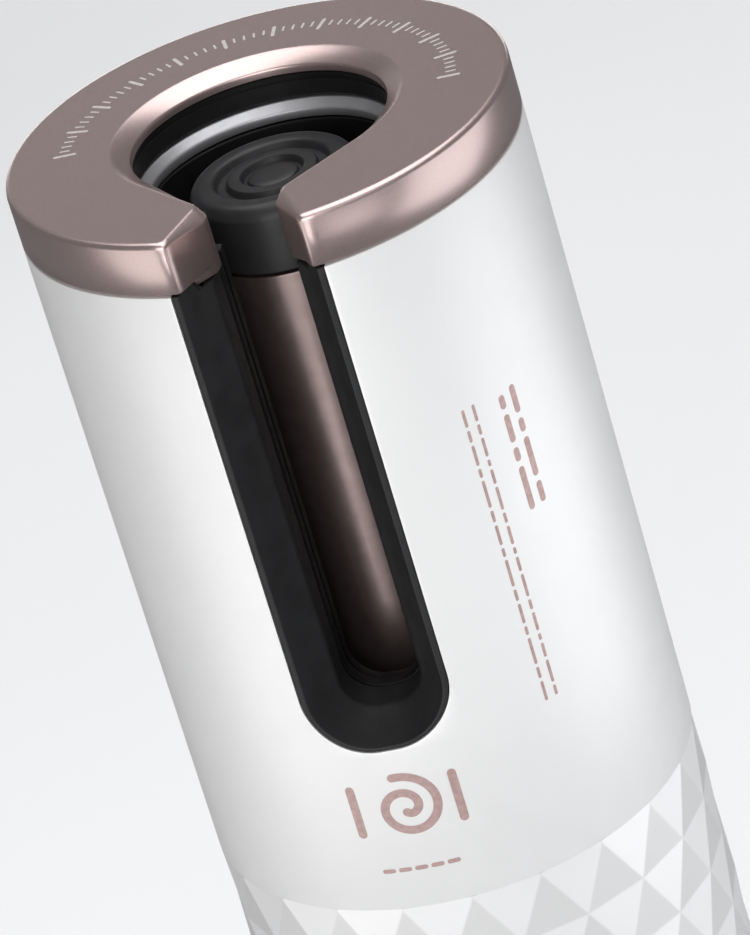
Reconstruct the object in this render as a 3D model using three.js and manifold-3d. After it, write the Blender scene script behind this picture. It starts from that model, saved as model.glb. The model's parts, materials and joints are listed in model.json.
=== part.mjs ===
// Cordless automatic hair curler.
// Millimetres, +Z up, origin at the centre of the foot, hair slot facing -Y.
// A slotted drum turns round a fixed heated barrel and winds a strand of hair on to it.

import * as THREE from 'three';
import { mergeVertices } from 'three/addons/utils/BufferGeometryUtils.js';
import Module from 'manifold-3d';

const wasm = await Module();
wasm.setup();

// ---------------------------------------------------------------- driving dimensions

const HEIGHT = 212;
const RADIUS = 32;
const GAP = 0.3;
const ROUND = 48;
const MEDIUM_ROUND = 32;
const SMALL_ROUND = 12;
const ARC = 4;

// levels
const CAP_BOTTOM = HEIGHT - 6.9;
const SHELL_TOP = CAP_BOTTOM - GAP;
const SEAM = 115.35;
const SEAM_HALF = 0.25;
const CHAMBER_FLOOR = 134;
const FRAME_BOTTOM = 119;
const FRAME_TOP = 121.6;

// head
const SHELL_INNER = 29.8;
const SLOT_BOTTOM = 138.8;
const SLOT_HALF = 9.36;
const SLOT_CORNER = 8.2;
const THROAT_HALF = 5.2;
const THROAT_BOTTOM = 141.3;
const THROAT_CORNER = 4.4;
const THROAT_DEPTH = 25;
const TUBE_INNER = 18.6;
const TUBE_OUTER = 20.2;
const DRUM_INNER = 15.9;
const DRUM_OUTER = 17.6;
const BARREL = 10.9;
const BARREL_TOP = 195.4;
const BARREL_TIP = 204.7;

// drum drive
const GEAR_MODULE = 0.9;
const DRUM_TEETH = 40;
const PINION_TEETH = 10;
const PINION_OFFSET = (GEAR_MODULE * (DRUM_TEETH + PINION_TEETH)) / 2;
const GEAR_BOTTOM = 124;
const GEAR_WIDTH = 5;
const POST = 10.5;
const HUB_INNER = 12.5;
const HUB_OUTER = 13.9;

// grip
const GRIP_INNER = 29.6;
const FACET_COLUMNS = 22;
const FACET_ROWS = 12;
const FACET_PITCH = 8.4;
const GRIP_TOP = SEAM - SEAM_HALF;
const GRIP_BOTTOM = GRIP_TOP - FACET_ROWS * FACET_PITCH;
const BASE_TOP = GRIP_BOTTOM - 0.4;
const SPIGOT_OUTER = 29.3;
const SPIGOT_INNER = 27.9;

// controls
const PANEL_Z = 71;
const PANEL_HALF = 11.7;
const PANEL_HALF_HEIGHT = 27;
const PANEL_CORNER = 9;
const PANEL_BACK = 28.4;
const PANEL_FACE = 31.1;
const BOARD_FACE = 21.5;
const STEM_TIP = 26.4;

// ---------------------------------------------------------------- materials

const paint = (color, roughness, metalness = 0) =>
  new THREE.MeshStandardMaterial({ color, roughness, metalness });

const ROSE = paint(0xb89a98, 0.4, 0.7);
const PEARL = paint(0xe9eaec, 0.3);
const BLACK = paint(0x26272a, 0.45);
const BRONZE = paint(0x4a3835, 0.35, 0.6);
const SILVER = paint(0xc8c8cb, 0.3, 0.9);
const STEEL = paint(0x9a9da0, 0.35, 0.9);
const ALUMINIUM = paint(0xb4b6b8, 0.45, 0.9);
const ACETAL = paint(0xe4e1d6, 0.5);
const BOARD = paint(0x1f5a3c, 0.6);
const CERAMIC = paint(0xe9e4da, 0.7);
const RUBBER = paint(0x3a3a3c, 0.85);
const WINDOW = paint(0x0b0c0e, 0.1);
const CELL = paint(0x2f6f9a, 0.5);

// ---------------------------------------------------------------- making solids

function solid(geometry) {
  const bare = geometry.clone();
  bare.deleteAttribute('normal');
  bare.deleteAttribute('uv');
  const merged = mergeVertices(bare, 1e-4);
  const vertProperties = new Float32Array(merged.attributes.position.array);
  const triVerts = new Uint32Array(merged.index.array);
  const made = new wasm.Manifold(new wasm.Mesh({ numProp: 3, vertProperties, triVerts }));
  if (made.volume() > 0) {
    return made;
  }
  for (let i = 0; i < triVerts.length; i += 3) {
    [triVerts[i], triVerts[i + 1]] = [triVerts[i + 1], triVerts[i]];
  }
  return new wasm.Manifold(new wasm.Mesh({ numProp: 3, vertProperties, triVerts }));
}

const group = new THREE.Group();

function add(name, body, material) {
  const { vertProperties, triVerts } = body.getMesh();
  const geometry = new THREE.BufferGeometry();
  geometry.setAttribute('position', new THREE.BufferAttribute(vertProperties, 3));
  geometry.setIndex(new THREE.BufferAttribute(triVerts, 1));
  geometry.computeVertexNormals();
  const mesh = new THREE.Mesh(geometry, material);
  mesh.name = name;
  group.add(mesh);
}

// Turned about Z from [radius, z] pairs that close on themselves or on the axis.
function turned(profile, segments = ROUND) {
  const points = profile.map(([r, z]) => new THREE.Vector2(r, z));
  if (profile[0][0] > 0) {
    points.push(points[0].clone());
  }
  const geometry = new THREE.LatheGeometry(points, segments);
  geometry.rotateX(Math.PI / 2);
  return solid(geometry);
}

const disc = (r, low, high, segments = ROUND) =>
  turned([[0, low], [r, low], [r, high], [0, high]], segments);

const ring = (inner, outer, low, high, segments = ROUND) =>
  turned([[inner, low], [outer, low], [outer, high], [inner, high]], segments);

const peg = (x, y, r, low, high, segments = SMALL_ROUND) =>
  disc(r, low, high, segments).translate([x, y, 0]);

function block(x0, x1, y0, y1, z0, z1) {
  const geometry = new THREE.BoxGeometry(x1 - x0, y1 - y0, z1 - z0);
  geometry.translate((x0 + x1) / 2, (y0 + y1) / 2, (z0 + z1) / 2);
  return solid(geometry);
}

function extruded(shape, depth, curveSegments = ARC) {
  return new THREE.ExtrudeGeometry(shape, { depth, steps: 1, bevelEnabled: false, curveSegments });
}

// An outline in x and z, carried along -Y from one distance off the axis to another.
function frontal(shape, near, far, curveSegments = ARC) {
  const geometry = extruded(shape, far - near, curveSegments);
  geometry.rotateX(Math.PI / 2);
  geometry.translate(0, -near, 0);
  return solid(geometry);
}

// A closed solid between two outlines of the same number of points.
function lofted(first, second) {
  const count = first.length;
  const flat = (outline) => {
    const level = outline.every((p) => p.z === outline[0].z);
    return outline.map((p) => new THREE.Vector2(p.x, level ? p.y : p.z));
  };
  const positions = [...first, ...second].flatMap((p) => [p.x, p.y, p.z]);
  const faces = [];
  for (let i = 0; i < count; i += 1) {
    const j = (i + 1) % count;
    faces.push(i, j, count + j, i, count + j, count + i);
  }
  THREE.ShapeUtils.triangulateShape(flat(first), []).forEach(([a, b, c]) => faces.push(c, b, a));
  THREE.ShapeUtils.triangulateShape(flat(second), [])
    .forEach(([a, b, c]) => faces.push(count + a, count + b, count + c));
  const geometry = new THREE.BufferGeometry();
  geometry.setAttribute('position', new THREE.Float32BufferAttribute(positions, 3));
  geometry.setIndex(faces);
  return solid(geometry);
}

// A U open at the top, in x and z.
function slotShape(half, bottom, top, corner) {
  const shape = new THREE.Shape();
  shape.moveTo(-half, top);
  shape.lineTo(-half, bottom + corner);
  shape.absarc(-half + corner, bottom + corner, corner, Math.PI, Math.PI * 1.5);
  shape.absarc(half - corner, bottom + corner, corner, Math.PI * 1.5, Math.PI * 2);
  shape.lineTo(half, top);
  return shape;
}

function roundedShape(half, halfHeight, corner, x = 0, y = 0) {
  const shape = new THREE.Shape();
  const right = x + half - corner;
  const left = x - half + corner;
  const top = y + halfHeight - corner;
  const bottom = y - halfHeight + corner;
  shape.absarc(right, top, corner, 0, Math.PI / 2);
  shape.absarc(left, top, corner, Math.PI / 2, Math.PI);
  shape.absarc(left, bottom, corner, Math.PI, Math.PI * 1.5);
  shape.absarc(right, bottom, corner, Math.PI * 1.5, Math.PI * 2);
  return shape;
}

const polar = (radius, degrees) => {
  const angle = THREE.MathUtils.degToRad(degrees);
  return [radius * Math.sin(angle), -radius * Math.cos(angle)];
};

// ---------------------------------------------------------------- cap

const MOUTH_FLARE = 48;
const NOSE_DISTANCE = 22.4;
const OUTER_CORNER = 15;
const BEVEL_DEPTH = 1.3;
const CAP_PLATE = 2.3;
const SKIRT_RADIUS = 27.5;
const SKIRT_BOTTOM = CAP_BOTTOM - 1.5;

function tangentFrom(point, centre, radius, side) {
  const dx = point.x - centre.x;
  const dy = point.y - centre.y;
  const swing = side * Math.acos(radius / Math.hypot(dx, dy));
  const angle = Math.atan2(dy, dx) + swing;
  return { angle, x: centre.x + radius * Math.cos(angle), y: centre.y + radius * Math.sin(angle) };
}

// The opening seen from above: a round mouth, flared straight to two rounded noses, then a gap
// that widens to the outside.
function keyhole(mouth, noseHalf, noseRadius, level) {
  const half = [];
  const centre = { x: noseHalf + noseRadius, y: -NOSE_DISTANCE };
  const [cornerX, cornerY] = polar(RADIUS, OUTER_CORNER);
  const outside = { x: cornerX, y: cornerY };
  const first = tangentFrom(outside, centre, noseRadius, -1);
  const reach = 1.5;
  half.push([outside.x + (outside.x - first.x) * reach, outside.y + (outside.y - first.y) * reach]);
  const [mouthX, mouthY] = polar(mouth, MOUTH_FLARE);
  const last = tangentFrom({ x: mouthX, y: mouthY }, centre, noseRadius, 1);
  const start = first.angle < 0 ? first.angle + 2 * Math.PI : first.angle;
  const end = last.angle < 0 ? last.angle + 2 * Math.PI : last.angle;
  const noseSteps = 6;
  for (let i = 0; i <= noseSteps; i += 1) {
    const angle = start + ((end - start) * i) / noseSteps;
    half.push([centre.x + noseRadius * Math.cos(angle), centre.y + noseRadius * Math.sin(angle)]);
  }
  const mouthSteps = 24;
  for (let i = 0; i <= mouthSteps; i += 1) {
    half.push(polar(mouth, MOUTH_FLARE + ((180 - MOUTH_FLARE) * i) / mouthSteps));
  }
  const mirrored = half.slice(0, -1).reverse().map(([x, y]) => [-x, y]);
  return [...half, ...mirrored].map(([x, y]) => new THREE.Vector3(x, y, level));
}

const lifted = (outline, level) => outline.map((p) => new THREE.Vector3(p.x, p.y, level));

const throatOutline = keyhole(16.3, 4.3, 2.6, CAP_BOTTOM - 5);
const mouthOutline = keyhole(18.6, 5, 2, HEIGHT);
const linerOutline = keyhole(16.6, 4.6, 2.6, CAP_BOTTOM - 5);

function capRing() {
  const edge = 0.5;
  const body = turned([
    [0, SKIRT_BOTTOM], [SKIRT_RADIUS, SKIRT_BOTTOM], [SKIRT_RADIUS, CAP_BOTTOM],
    [RADIUS, CAP_BOTTOM], [RADIUS, HEIGHT - edge], [RADIUS - edge, HEIGHT], [0, HEIGHT],
  ]);
  const bevel = HEIGHT - BEVEL_DEPTH;
  const hole = lofted(throatOutline, lifted(throatOutline, HEIGHT + 2))
    .add(lofted(lifted(throatOutline, bevel), mouthOutline))
    .add(lofted(mouthOutline, lifted(mouthOutline, HEIGHT + 2)));
  const linerSeat = disc(19.3, SKIRT_BOTTOM - 1, HEIGHT - CAP_PLATE);
  const lips = new THREE.Shape([[0, 0], polar(50, 30), polar(50, -30)]
    .map(([x, y]) => new THREE.Vector2(x, y)));
  const lipWedge = solid(extruded(lips, HEIGHT));
  const hollow = ring(21.5, 29.5, SKIRT_BOTTOM - 1, HEIGHT - CAP_PLATE - 0.2).subtract(lipWedge);
  let cap = body.subtract(hole).subtract(linerSeat).subtract(hollow);
  for (let i = 1; i <= 5; i += 1) {
    const clip = block(-3, 3, 28.2, 29.9, CAP_BOTTOM - 4, HEIGHT - CAP_PLATE)
      .intersect(disc(29.5, 0, HEIGHT));
    cap = cap.add(clip.rotate([0, 0, 180 + 60 * i]));
  }
  return cap;
}

function capLiner() {
  const body = ring(15, 19, CAP_BOTTOM + 1, HEIGHT - CAP_PLATE - GAP);
  return body.subtract(lofted(linerOutline, lifted(linerOutline, HEIGHT)));
}

add('cap_ring', capRing(), ROSE);
add('cap_liner', capLiner(), BLACK);

// ---------------------------------------------------------------- head shells

function upperShell() {
  const bottom = SEAM + SEAM_HALF;
  const edge = 0.3;
  const body = turned([
    [SHELL_INNER, bottom], [RADIUS - edge, bottom], [RADIUS, bottom + edge],
    [RADIUS, SHELL_TOP - edge], [RADIUS - edge, SHELL_TOP], [SHELL_INNER, SHELL_TOP],
  ]);
  const cut = slotShape(SLOT_HALF + GAP, SLOT_BOTTOM - GAP, HEIGHT, SLOT_CORNER + GAP);
  return body.subtract(frontal(cut, 10, 40));
}

function slotBezel() {
  const face = RADIUS - 0.05;
  const outer = frontal(slotShape(SLOT_HALF, SLOT_BOTTOM, SHELL_TOP, SLOT_CORNER), 10, 40)
    .intersect(ring(TUBE_OUTER + GAP, face, SLOT_BOTTOM - 5, HEIGHT))
    .subtract(disc(SKIRT_RADIUS + GAP, SKIRT_BOTTOM - GAP, HEIGHT));
  const slope = 0.667;
  const rise = 0.288;
  const run = 8;
  const at = (shape, y) => shape.getPoints(ARC).map((p) => new THREE.Vector3(p.x, y, p.y));
  const inner = slotShape(THROAT_HALF, THROAT_BOTTOM, HEIGHT, THROAT_CORNER);
  const wide = slotShape(
    THROAT_HALF + slope * run, THROAT_BOTTOM - rise * run, HEIGHT, THROAT_CORNER + slope * run * 0.9,
  );
  const funnel = lofted(at(inner, -THROAT_DEPTH), at(wide, -THROAT_DEPTH - run));
  return outer.subtract(funnel).subtract(frontal(inner, 10, THROAT_DEPTH + 0.1));
}

const TUBE_SCREW_ANGLES = [0, 120, 240];
const TUBE_SCREW_RADIUS = 25.5;
const FLANGE_TOP = 133.4;
const FLANGE_BOTTOM = 131.4;

function chamberTube() {
  const tubeTop = SKIRT_BOTTOM - GAP;
  const body = turned([
    [TUBE_INNER, FLANGE_BOTTOM], [SPIGOT_OUTER, FLANGE_BOTTOM], [SPIGOT_OUTER, FLANGE_TOP],
    [TUBE_OUTER, FLANGE_TOP], [TUBE_OUTER, tubeTop], [TUBE_INNER, tubeTop],
  ]);
  const slot = frontal(slotShape(THROAT_HALF, THROAT_BOTTOM, HEIGHT, THROAT_CORNER), 10, 24);
  let tube = body.subtract(slot);
  TUBE_SCREW_ANGLES.forEach((angle) => {
    const [x, y] = polar(TUBE_SCREW_RADIUS, angle);
    tube = tube.subtract(peg(x, y, 1.7, FLANGE_BOTTOM - 1, FLANGE_TOP + 1));
  });
  return tube;
}

add('upper_shell', upperShell(), PEARL);
add('slot_bezel', slotBezel(), BLACK);
add('chamber_tube', chamberTube(), BLACK);

// ---------------------------------------------------------------- drum and its gear

const drumSlot = frontal(slotShape(THROAT_HALF, THROAT_BOTTOM - 0.8, HEIGHT, THROAT_CORNER), 12, 24);
const DRUM_TOP = 203.2;

function windingDrum() {
  const floor = CHAMBER_FLOOR + 1.6;
  let drum = turned([
    [HUB_INNER, 123], [HUB_OUTER, 123], [HUB_OUTER, CHAMBER_FLOOR], [DRUM_OUTER, CHAMBER_FLOOR],
    [DRUM_OUTER, DRUM_TOP], [DRUM_INNER, DRUM_TOP], [DRUM_INNER, floor], [BARREL + 0.5, floor],
    [BARREL + 0.5, CHAMBER_FLOOR], [HUB_INNER, CHAMBER_FLOOR],
  ]);
  for (const angle of [45, 135, 225, 315]) {
    const rib = block(-0.6, 0.6, 15.2, DRUM_INNER + 0.6, floor - 0.5, DRUM_TOP - 6);
    drum = drum.add(rib.rotate([0, 0, angle]));
  }
  return drum.subtract(drumSlot);
}

function drumRim() {
  const rim = turned([
    [15.8, DRUM_TOP + GAP], [17.9, DRUM_TOP + GAP], [17.9, 205], [17.2, 205.8],
    [16.3, 205.6], [15.8, 205],
  ]);
  return rim.subtract(drumSlot);
}

// Involute teeth with a little backlash, centred on a gap at angle zero or half a tooth on.
function gearShape(teeth, bore, startsWithTooth) {
  const pitch = (GEAR_MODULE * teeth) / 2;
  const base = pitch * Math.cos(THREE.MathUtils.degToRad(20));
  const tip = pitch + GEAR_MODULE * 0.92;
  const root = pitch - GEAR_MODULE * 1.2;
  const involute = (r) => {
    const a = Math.acos(Math.min(1, base / r));
    return Math.tan(a) - a;
  };
  const halfTooth = Math.PI / (2 * teeth) - 0.09 / pitch;
  const low = Math.max(base, root + 0.05);
  const radii = teeth > 20 ? [low, tip] : [low, (low + tip) / 2, tip];
  const points = [];
  for (let i = 0; i < teeth; i += 1) {
    const middle = (2 * Math.PI * (i + (startsWithTooth ? 0 : 0.5))) / teeth;
    const flank = radii.map((r) => [r, halfTooth + involute(pitch) - involute(r)]);
    const foot = [root, flank[0][1] + 0.02];
    const rising = [foot, ...flank].map(([r, a]) => [r, middle - a]);
    const falling = [foot, ...flank].reverse().map(([r, a]) => [r, middle + a]);
    points.push(...[...rising, ...falling].map(([r, a]) => [r * Math.cos(a), r * Math.sin(a)]));
  }
  const shape = new THREE.Shape(points.map(([x, y]) => new THREE.Vector2(x, y)));
  const hole = new THREE.Path();
  hole.absarc(0, 0, bore, 0, Math.PI * 2);
  shape.holes.push(hole);
  return shape;
}

const MAGNET_RADIUS = 15.5;

function drumGear() {
  const geometry = extruded(gearShape(DRUM_TEETH, HUB_OUTER + GAP, false), GEAR_WIDTH, 16);
  geometry.rotateZ(Math.PI / 2);
  geometry.translate(0, 0, GEAR_BOTTOM);
  return solid(geometry).subtract(peg(0, -MAGNET_RADIUS, 1.15, GEAR_BOTTOM - 1, GEAR_BOTTOM + 2.2));
}

function drivePinion() {
  const geometry = extruded(gearShape(PINION_TEETH, 1.8, true), GEAR_WIDTH + 0.8, 8);
  geometry.rotateZ(-Math.PI / 2);
  geometry.translate(0, PINION_OFFSET, GEAR_BOTTOM - 0.4);
  return solid(geometry);
}

add('winding_drum', windingDrum(), BLACK);
add('drum_rim', drumRim(), SILVER);
add('drum_gear', drumGear(), ACETAL);
add('home_magnet', peg(0, -MAGNET_RADIUS, 0.85, GEAR_BOTTOM + 0.1, GEAR_BOTTOM + 1.9), STEEL);
add('drive_pinion', drivePinion(), STEEL);
add('motor_shaft', peg(0, PINION_OFFSET, 1.5, FRAME_BOTTOM - 0.5, 130.4), STEEL);
add('drum_bush', ring(POST + GAP, HUB_INNER - GAP, 122.4, 133, MEDIUM_ROUND), ACETAL);
add('thrust_washer', ring(12.5, 14.6, FRAME_TOP + GAP, 122.7, MEDIUM_ROUND), STEEL);

function homeSensor() {
  const board = block(-4, 4, -18.4, -14.9, FRAME_TOP + GAP, 122.8);
  return board.add(block(-1.5, 1.5, -17.2, -15, 122.7, 123.6));
}

add('home_sensor', homeSensor(), BOARD);

// ---------------------------------------------------------------- heated barrel

const MOUNT_SHOULDER = CHAMBER_FLOOR - 0.4;
const CORE_BOTTOM = 139.4;
const CORE_TOP = 193.4;
const SENSOR_OFFSET = 5.6;
const BARREL_SCREW_X = 7.5;

function barrelMount() {
  let post = turned([
    [4.5, FRAME_TOP + GAP], [POST, FRAME_TOP + GAP], [POST, MOUNT_SHOULDER],
    [9.1, MOUNT_SHOULDER], [9.1, 139], [4.5, 139],
  ], MEDIUM_ROUND);
  for (const x of [-BARREL_SCREW_X, BARREL_SCREW_X]) {
    post = post.subtract(peg(x, 0, 1.4, 120, 128));
  }
  return post;
}

function heaterCore() {
  return disc(9.1, CORE_BOTTOM, CORE_TOP, MEDIUM_ROUND)
    .subtract(block(-6.5, 6.5, -1.7, 1.7, CORE_BOTTOM - 1, CORE_TOP + 1))
    .subtract(peg(0, SENSOR_OFFSET, 1.5, CORE_BOTTOM - 1, 180))
    .subtract(peg(0, -SENSOR_OFFSET, 1.7, CORE_BOTTOM - 1, 180));
}

function barrelEndCap() {
  return turned([
    [0, CORE_TOP + 0.4], [9, CORE_TOP + 0.4], [9, BARREL_TOP + GAP], [BARREL, BARREL_TOP + GAP],
    [BARREL, BARREL_TIP - 1.8], [10.4, BARREL_TIP - 0.6], [9.5, BARREL_TIP], [7.6, BARREL_TIP],
    [7.1, BARREL_TIP - 0.9], [6.1, BARREL_TIP - 0.9], [5.7, BARREL_TIP - 0.2],
    [4.1, BARREL_TIP - 0.2], [3.8, BARREL_TIP - 0.9], [3.3, BARREL_TIP - 0.9],
    [3.1, BARREL_TIP - 0.5], [0, BARREL_TIP - 0.3],
  ], 24);
}

add('barrel_sleeve', ring(9.4, BARREL, CHAMBER_FLOOR - 0.1, BARREL_TOP, MEDIUM_ROUND), BRONZE);
add('barrel_end_cap', barrelEndCap(), BLACK);
add('barrel_mount', barrelMount(), BLACK);
add('heater_core', heaterCore(), ALUMINIUM);
add('heater_plate', block(-6.1, 6.1, -1.35, 1.35, 142, 193), CERAMIC);
add('temperature_sensor', peg(0, SENSOR_OFFSET, 1.1, 163, 171, 12), CERAMIC);
add('thermal_fuse', peg(0, -SENSOR_OFFSET, 1.3, 158, 171, 12), STEEL);

// ---------------------------------------------------------------- mid frame and motor

const MOTOR_HALF_WIDTH = 6;
const MOTOR_HALF_DEPTH = 5;
const GEARBOX_TOP = FRAME_BOTTOM - 0.8;
const GEARBOX_BOTTOM = 109.3;
const MOTOR_BOTTOM = 94;
const MOTOR_SCREW_X = 4.5;

function midFrame() {
  let frame = turned([
    [4.5, FRAME_BOTTOM], [SPIGOT_INNER, FRAME_BOTTOM], [SPIGOT_INNER, 110], [SPIGOT_OUTER, 110],
    [SPIGOT_OUTER, FRAME_TOP], [4.5, FRAME_TOP],
  ]);
  TUBE_SCREW_ANGLES.forEach((angle) => {
    const [x, y] = polar(TUBE_SCREW_RADIUS, angle);
    const pillar = peg(x, y, 3, FRAME_TOP - 1, FLANGE_BOTTOM - GAP);
    frame = frame.add(pillar).subtract(peg(x, y, 1.6, 123, FLANGE_BOTTOM + 1));
  });
  const clear = 0.4;
  const motorRoom = block(
    -MOTOR_HALF_WIDTH - clear, MOTOR_HALF_WIDTH + clear,
    PINION_OFFSET - MOTOR_HALF_DEPTH - clear, PINION_OFFSET + MOTOR_HALF_DEPTH + clear,
    100, FRAME_BOTTOM - 0.01,
  );
  frame = frame.subtract(motorRoom).subtract(peg(0, PINION_OFFSET, 2.2, 110, 125));
  for (const side of [-1, 1]) {
    frame = frame.subtract(peg(side * BARREL_SCREW_X, 0, 1.4, 110, 125));
    frame = frame.subtract(peg(side * MOTOR_SCREW_X, PINION_OFFSET, 1.1, 110, 125));
  }
  return frame;
}

function motorGearbox() {
  let box = block(
    -MOTOR_HALF_WIDTH, MOTOR_HALF_WIDTH, PINION_OFFSET - MOTOR_HALF_DEPTH,
    PINION_OFFSET + MOTOR_HALF_DEPTH, GEARBOX_BOTTOM, GEARBOX_TOP,
  );
  for (const side of [-1, 1]) {
    box = box.subtract(peg(side * MOTOR_SCREW_X, PINION_OFFSET, 1.1, 113, 125, 12));
  }
  return box;
}

function motorCan() {
  const tube = peg(0, PINION_OFFSET, MOTOR_HALF_WIDTH, MOTOR_BOTTOM, GEARBOX_BOTTOM - GAP, MEDIUM_ROUND);
  const flats = block(
    -MOTOR_HALF_WIDTH, MOTOR_HALF_WIDTH, PINION_OFFSET - MOTOR_HALF_DEPTH,
    PINION_OFFSET + MOTOR_HALF_DEPTH, MOTOR_BOTTOM - 1, GEARBOX_BOTTOM,
  );
  return tube.intersect(flats).add(peg(0, PINION_OFFSET, 2.4, MOTOR_BOTTOM - 1.2, MOTOR_BOTTOM + 1));
}

add('mid_frame', midFrame(), BLACK);
add('motor_gearbox', motorGearbox(), STEEL);
add('motor_can', motorCan(), STEEL);

// ---------------------------------------------------------------- grip and foot

// Rows of vertices, each row turned half a column from the next, make the triangular facets.
function gripShell() {
  const positions = [];
  const faces = [];
  for (let row = 0; row <= FACET_ROWS; row += 1) {
    for (let column = 0; column < FACET_COLUMNS; column += 1) {
      const turn = column + (row % 2 === 0 ? 0.5 : 0);
      const [x, y] = polar(RADIUS, (360 * turn) / FACET_COLUMNS);
      positions.push(x, y, GRIP_TOP - row * FACET_PITCH);
    }
  }
  for (let row = 0; row < FACET_ROWS; row += 1) {
    for (let column = 0; column < FACET_COLUMNS; column += 1) {
      const next = (column + 1) % FACET_COLUMNS;
      const above = row * FACET_COLUMNS;
      const below = above + FACET_COLUMNS;
      if (row % 2 === 0) {
        faces.push(above + column, below + column, below + next);
        faces.push(above + column, below + next, above + next);
      } else {
        faces.push(above + column, below + column, above + next);
        faces.push(above + next, below + column, below + next);
      }
    }
  }
  const top = positions.length / 3;
  positions.push(0, 0, GRIP_TOP, 0, 0, GRIP_BOTTOM);
  const last = FACET_ROWS * FACET_COLUMNS;
  for (let column = 0; column < FACET_COLUMNS; column += 1) {
    const next = (column + 1) % FACET_COLUMNS;
    faces.push(top, column, next);
    faces.push(top + 1, last + next, last + column);
  }
  const geometry = new THREE.BufferGeometry();
  geometry.setAttribute('position', new THREE.Float32BufferAttribute(positions, 3));
  geometry.setIndex(faces);
  const opening = roundedShape(
    PANEL_HALF + GAP, PANEL_HALF_HEIGHT + GAP, PANEL_CORNER + GAP, 0, PANEL_Z,
  );
  return solid(geometry)
    .subtract(disc(GRIP_INNER, GRIP_BOTTOM - 1, GRIP_TOP + 1))
    .subtract(frontal(opening, 15, 40));
}

const FOOT_PAD = 27;
const FOOT_FLOOR = 2.4;
const BASE_FLOOR_TOP = 5.4;
const PORT_Z = 9.6;
const LEGS = [[-14, 0], [14, 0], [0, 12]];

// The stadium outline of the charging port, standing in x and z and running along +Y.
function portSolid(half, halfHeight, near, far) {
  const shape = roundedShape(half, halfHeight, halfHeight - 0.01, 0, PORT_Z);
  return frontal(shape, near, far, 5).mirror([0, 1, 0]);
}

function baseRing() {
  const edge = 0.8;
  const low = 0.6;
  let base = turned([
    [0, FOOT_FLOOR], [FOOT_PAD + 0.4, FOOT_FLOOR], [FOOT_PAD + 0.4, low], [RADIUS - edge, low],
    [RADIUS, low + edge], [RADIUS, BASE_TOP], [SPIGOT_OUTER, BASE_TOP], [SPIGOT_OUTER, 19],
    [SPIGOT_INNER, 19], [SPIGOT_INNER, BASE_FLOOR_TOP], [0, BASE_FLOOR_TOP],
  ]);
  for (const [x, y] of LEGS) {
    base = base.subtract(peg(x, y, 1.7, 0, 10)).subtract(peg(x, y, 3, 0, 4.2));
  }
  return base.subtract(portSolid(4.9, 2, 24, 40));
}

function chargingSocket() {
  return portSolid(4.5, 1.65, 23.9, 31.2)
    .subtract(portSolid(4.15, 1.3, 25, 33))
    .add(block(-3.3, 3.3, 24.5, 30.2, PORT_Z - 0.35, PORT_Z + 0.35));
}

add('grip_shell', gripShell(), PEARL);
add('base_ring', baseRing(), ROSE);
add('foot_pad', disc(FOOT_PAD, 0, FOOT_FLOOR - GAP), RUBBER);
add('charging_socket', chargingSocket(), STEEL);
add('charge_board', block(-6, 6, 16, 26.8, 6.8, 7.6), BOARD);

// ---------------------------------------------------------------- batteries

const CELL_RADIUS = 9.2;
const CELL_X = 9.6;
const CELL_Y = 4.5;
const CELL_BOTTOM = 27;
const CELL_LENGTH = 65;

function batteryCell(x) {
  const top = CELL_BOTTOM + CELL_LENGTH;
  const cell = peg(x, CELL_Y, CELL_RADIUS, CELL_BOTTOM, top - 1, MEDIUM_ROUND);
  return cell.add(peg(x, CELL_Y, 3.4, top - 1.5, top, 16));
}

function batteryHolder() {
  const plate = CELL_BOTTOM - GAP;
  const high = CELL_BOTTOM + CELL_LENGTH + GAP;
  let holder = block(-20, 20, -6, 15.6, plate - 2.8, plate)
    .add(block(-20, 20, -6, 15.6, high, high + 2.6))
    .add(block(-20, 20, 14, 15.6, plate - 2.8, high + 2.6))
    .add(block(-8, 8, 14, 15.6, high, FRAME_BOTTOM - GAP));
  for (const [x, y] of LEGS) {
    holder = holder.add(peg(x, y, 3.4, BASE_FLOOR_TOP + GAP, plate - 1));
    holder = holder.subtract(peg(x, y, 1.6, 0, 14));
  }
  return holder;
}

add('battery_cell_left', batteryCell(-CELL_X), CELL);
add('battery_cell_right', batteryCell(CELL_X), CELL);
add('battery_holder', batteryHolder(), BLACK);

// ---------------------------------------------------------------- controls

const RIM = 1.1;
const LEDGE_FACE = 28.1;
const LEDGE_BACK = 26.8;
const BUTTON_BACK = 27.1;
const BUTTON_FACE = 31.6;
const POWER = { x: 0, z: 52.5, r: 3.6 };
const HEAT = { x: -4.4, z: 63, r: 3 };
const TIMER = { x: 4.4, z: 63, r: 3 };
const ROCKER = { z: 74.5, half: 7.5, halfHeight: 3.8, corner: 2.2, axis: 27.6 };
const DISPLAY = { z: 87.5, half: 7, halfHeight: 5, corner: 1.6 };

const panelOutline = (inset) => roundedShape(
  PANEL_HALF - inset, PANEL_HALF_HEIGHT - inset, PANEL_CORNER - inset, 0, PANEL_Z,
);

// A peg whose axis runs along -Y, from one distance off the main axis to another.
function frontPeg(x, z, r, near, far, segments = SMALL_ROUND) {
  return disc(r, near, far, segments).rotate([90, 0, 0]).translate([x, 0, z]);
}

function panelBezel() {
  const rim = frontal(panelOutline(0), LEDGE_BACK, 40)
    .subtract(frontal(panelOutline(RIM), 20, 41))
    .intersect(disc(RADIUS - 0.4, 0, HEIGHT));
  const ledge = frontal(panelOutline(0), LEDGE_BACK, LEDGE_FACE)
    .subtract(frontal(panelOutline(RIM + 1.2), 20, 40));
  return rim.add(ledge);
}

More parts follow.
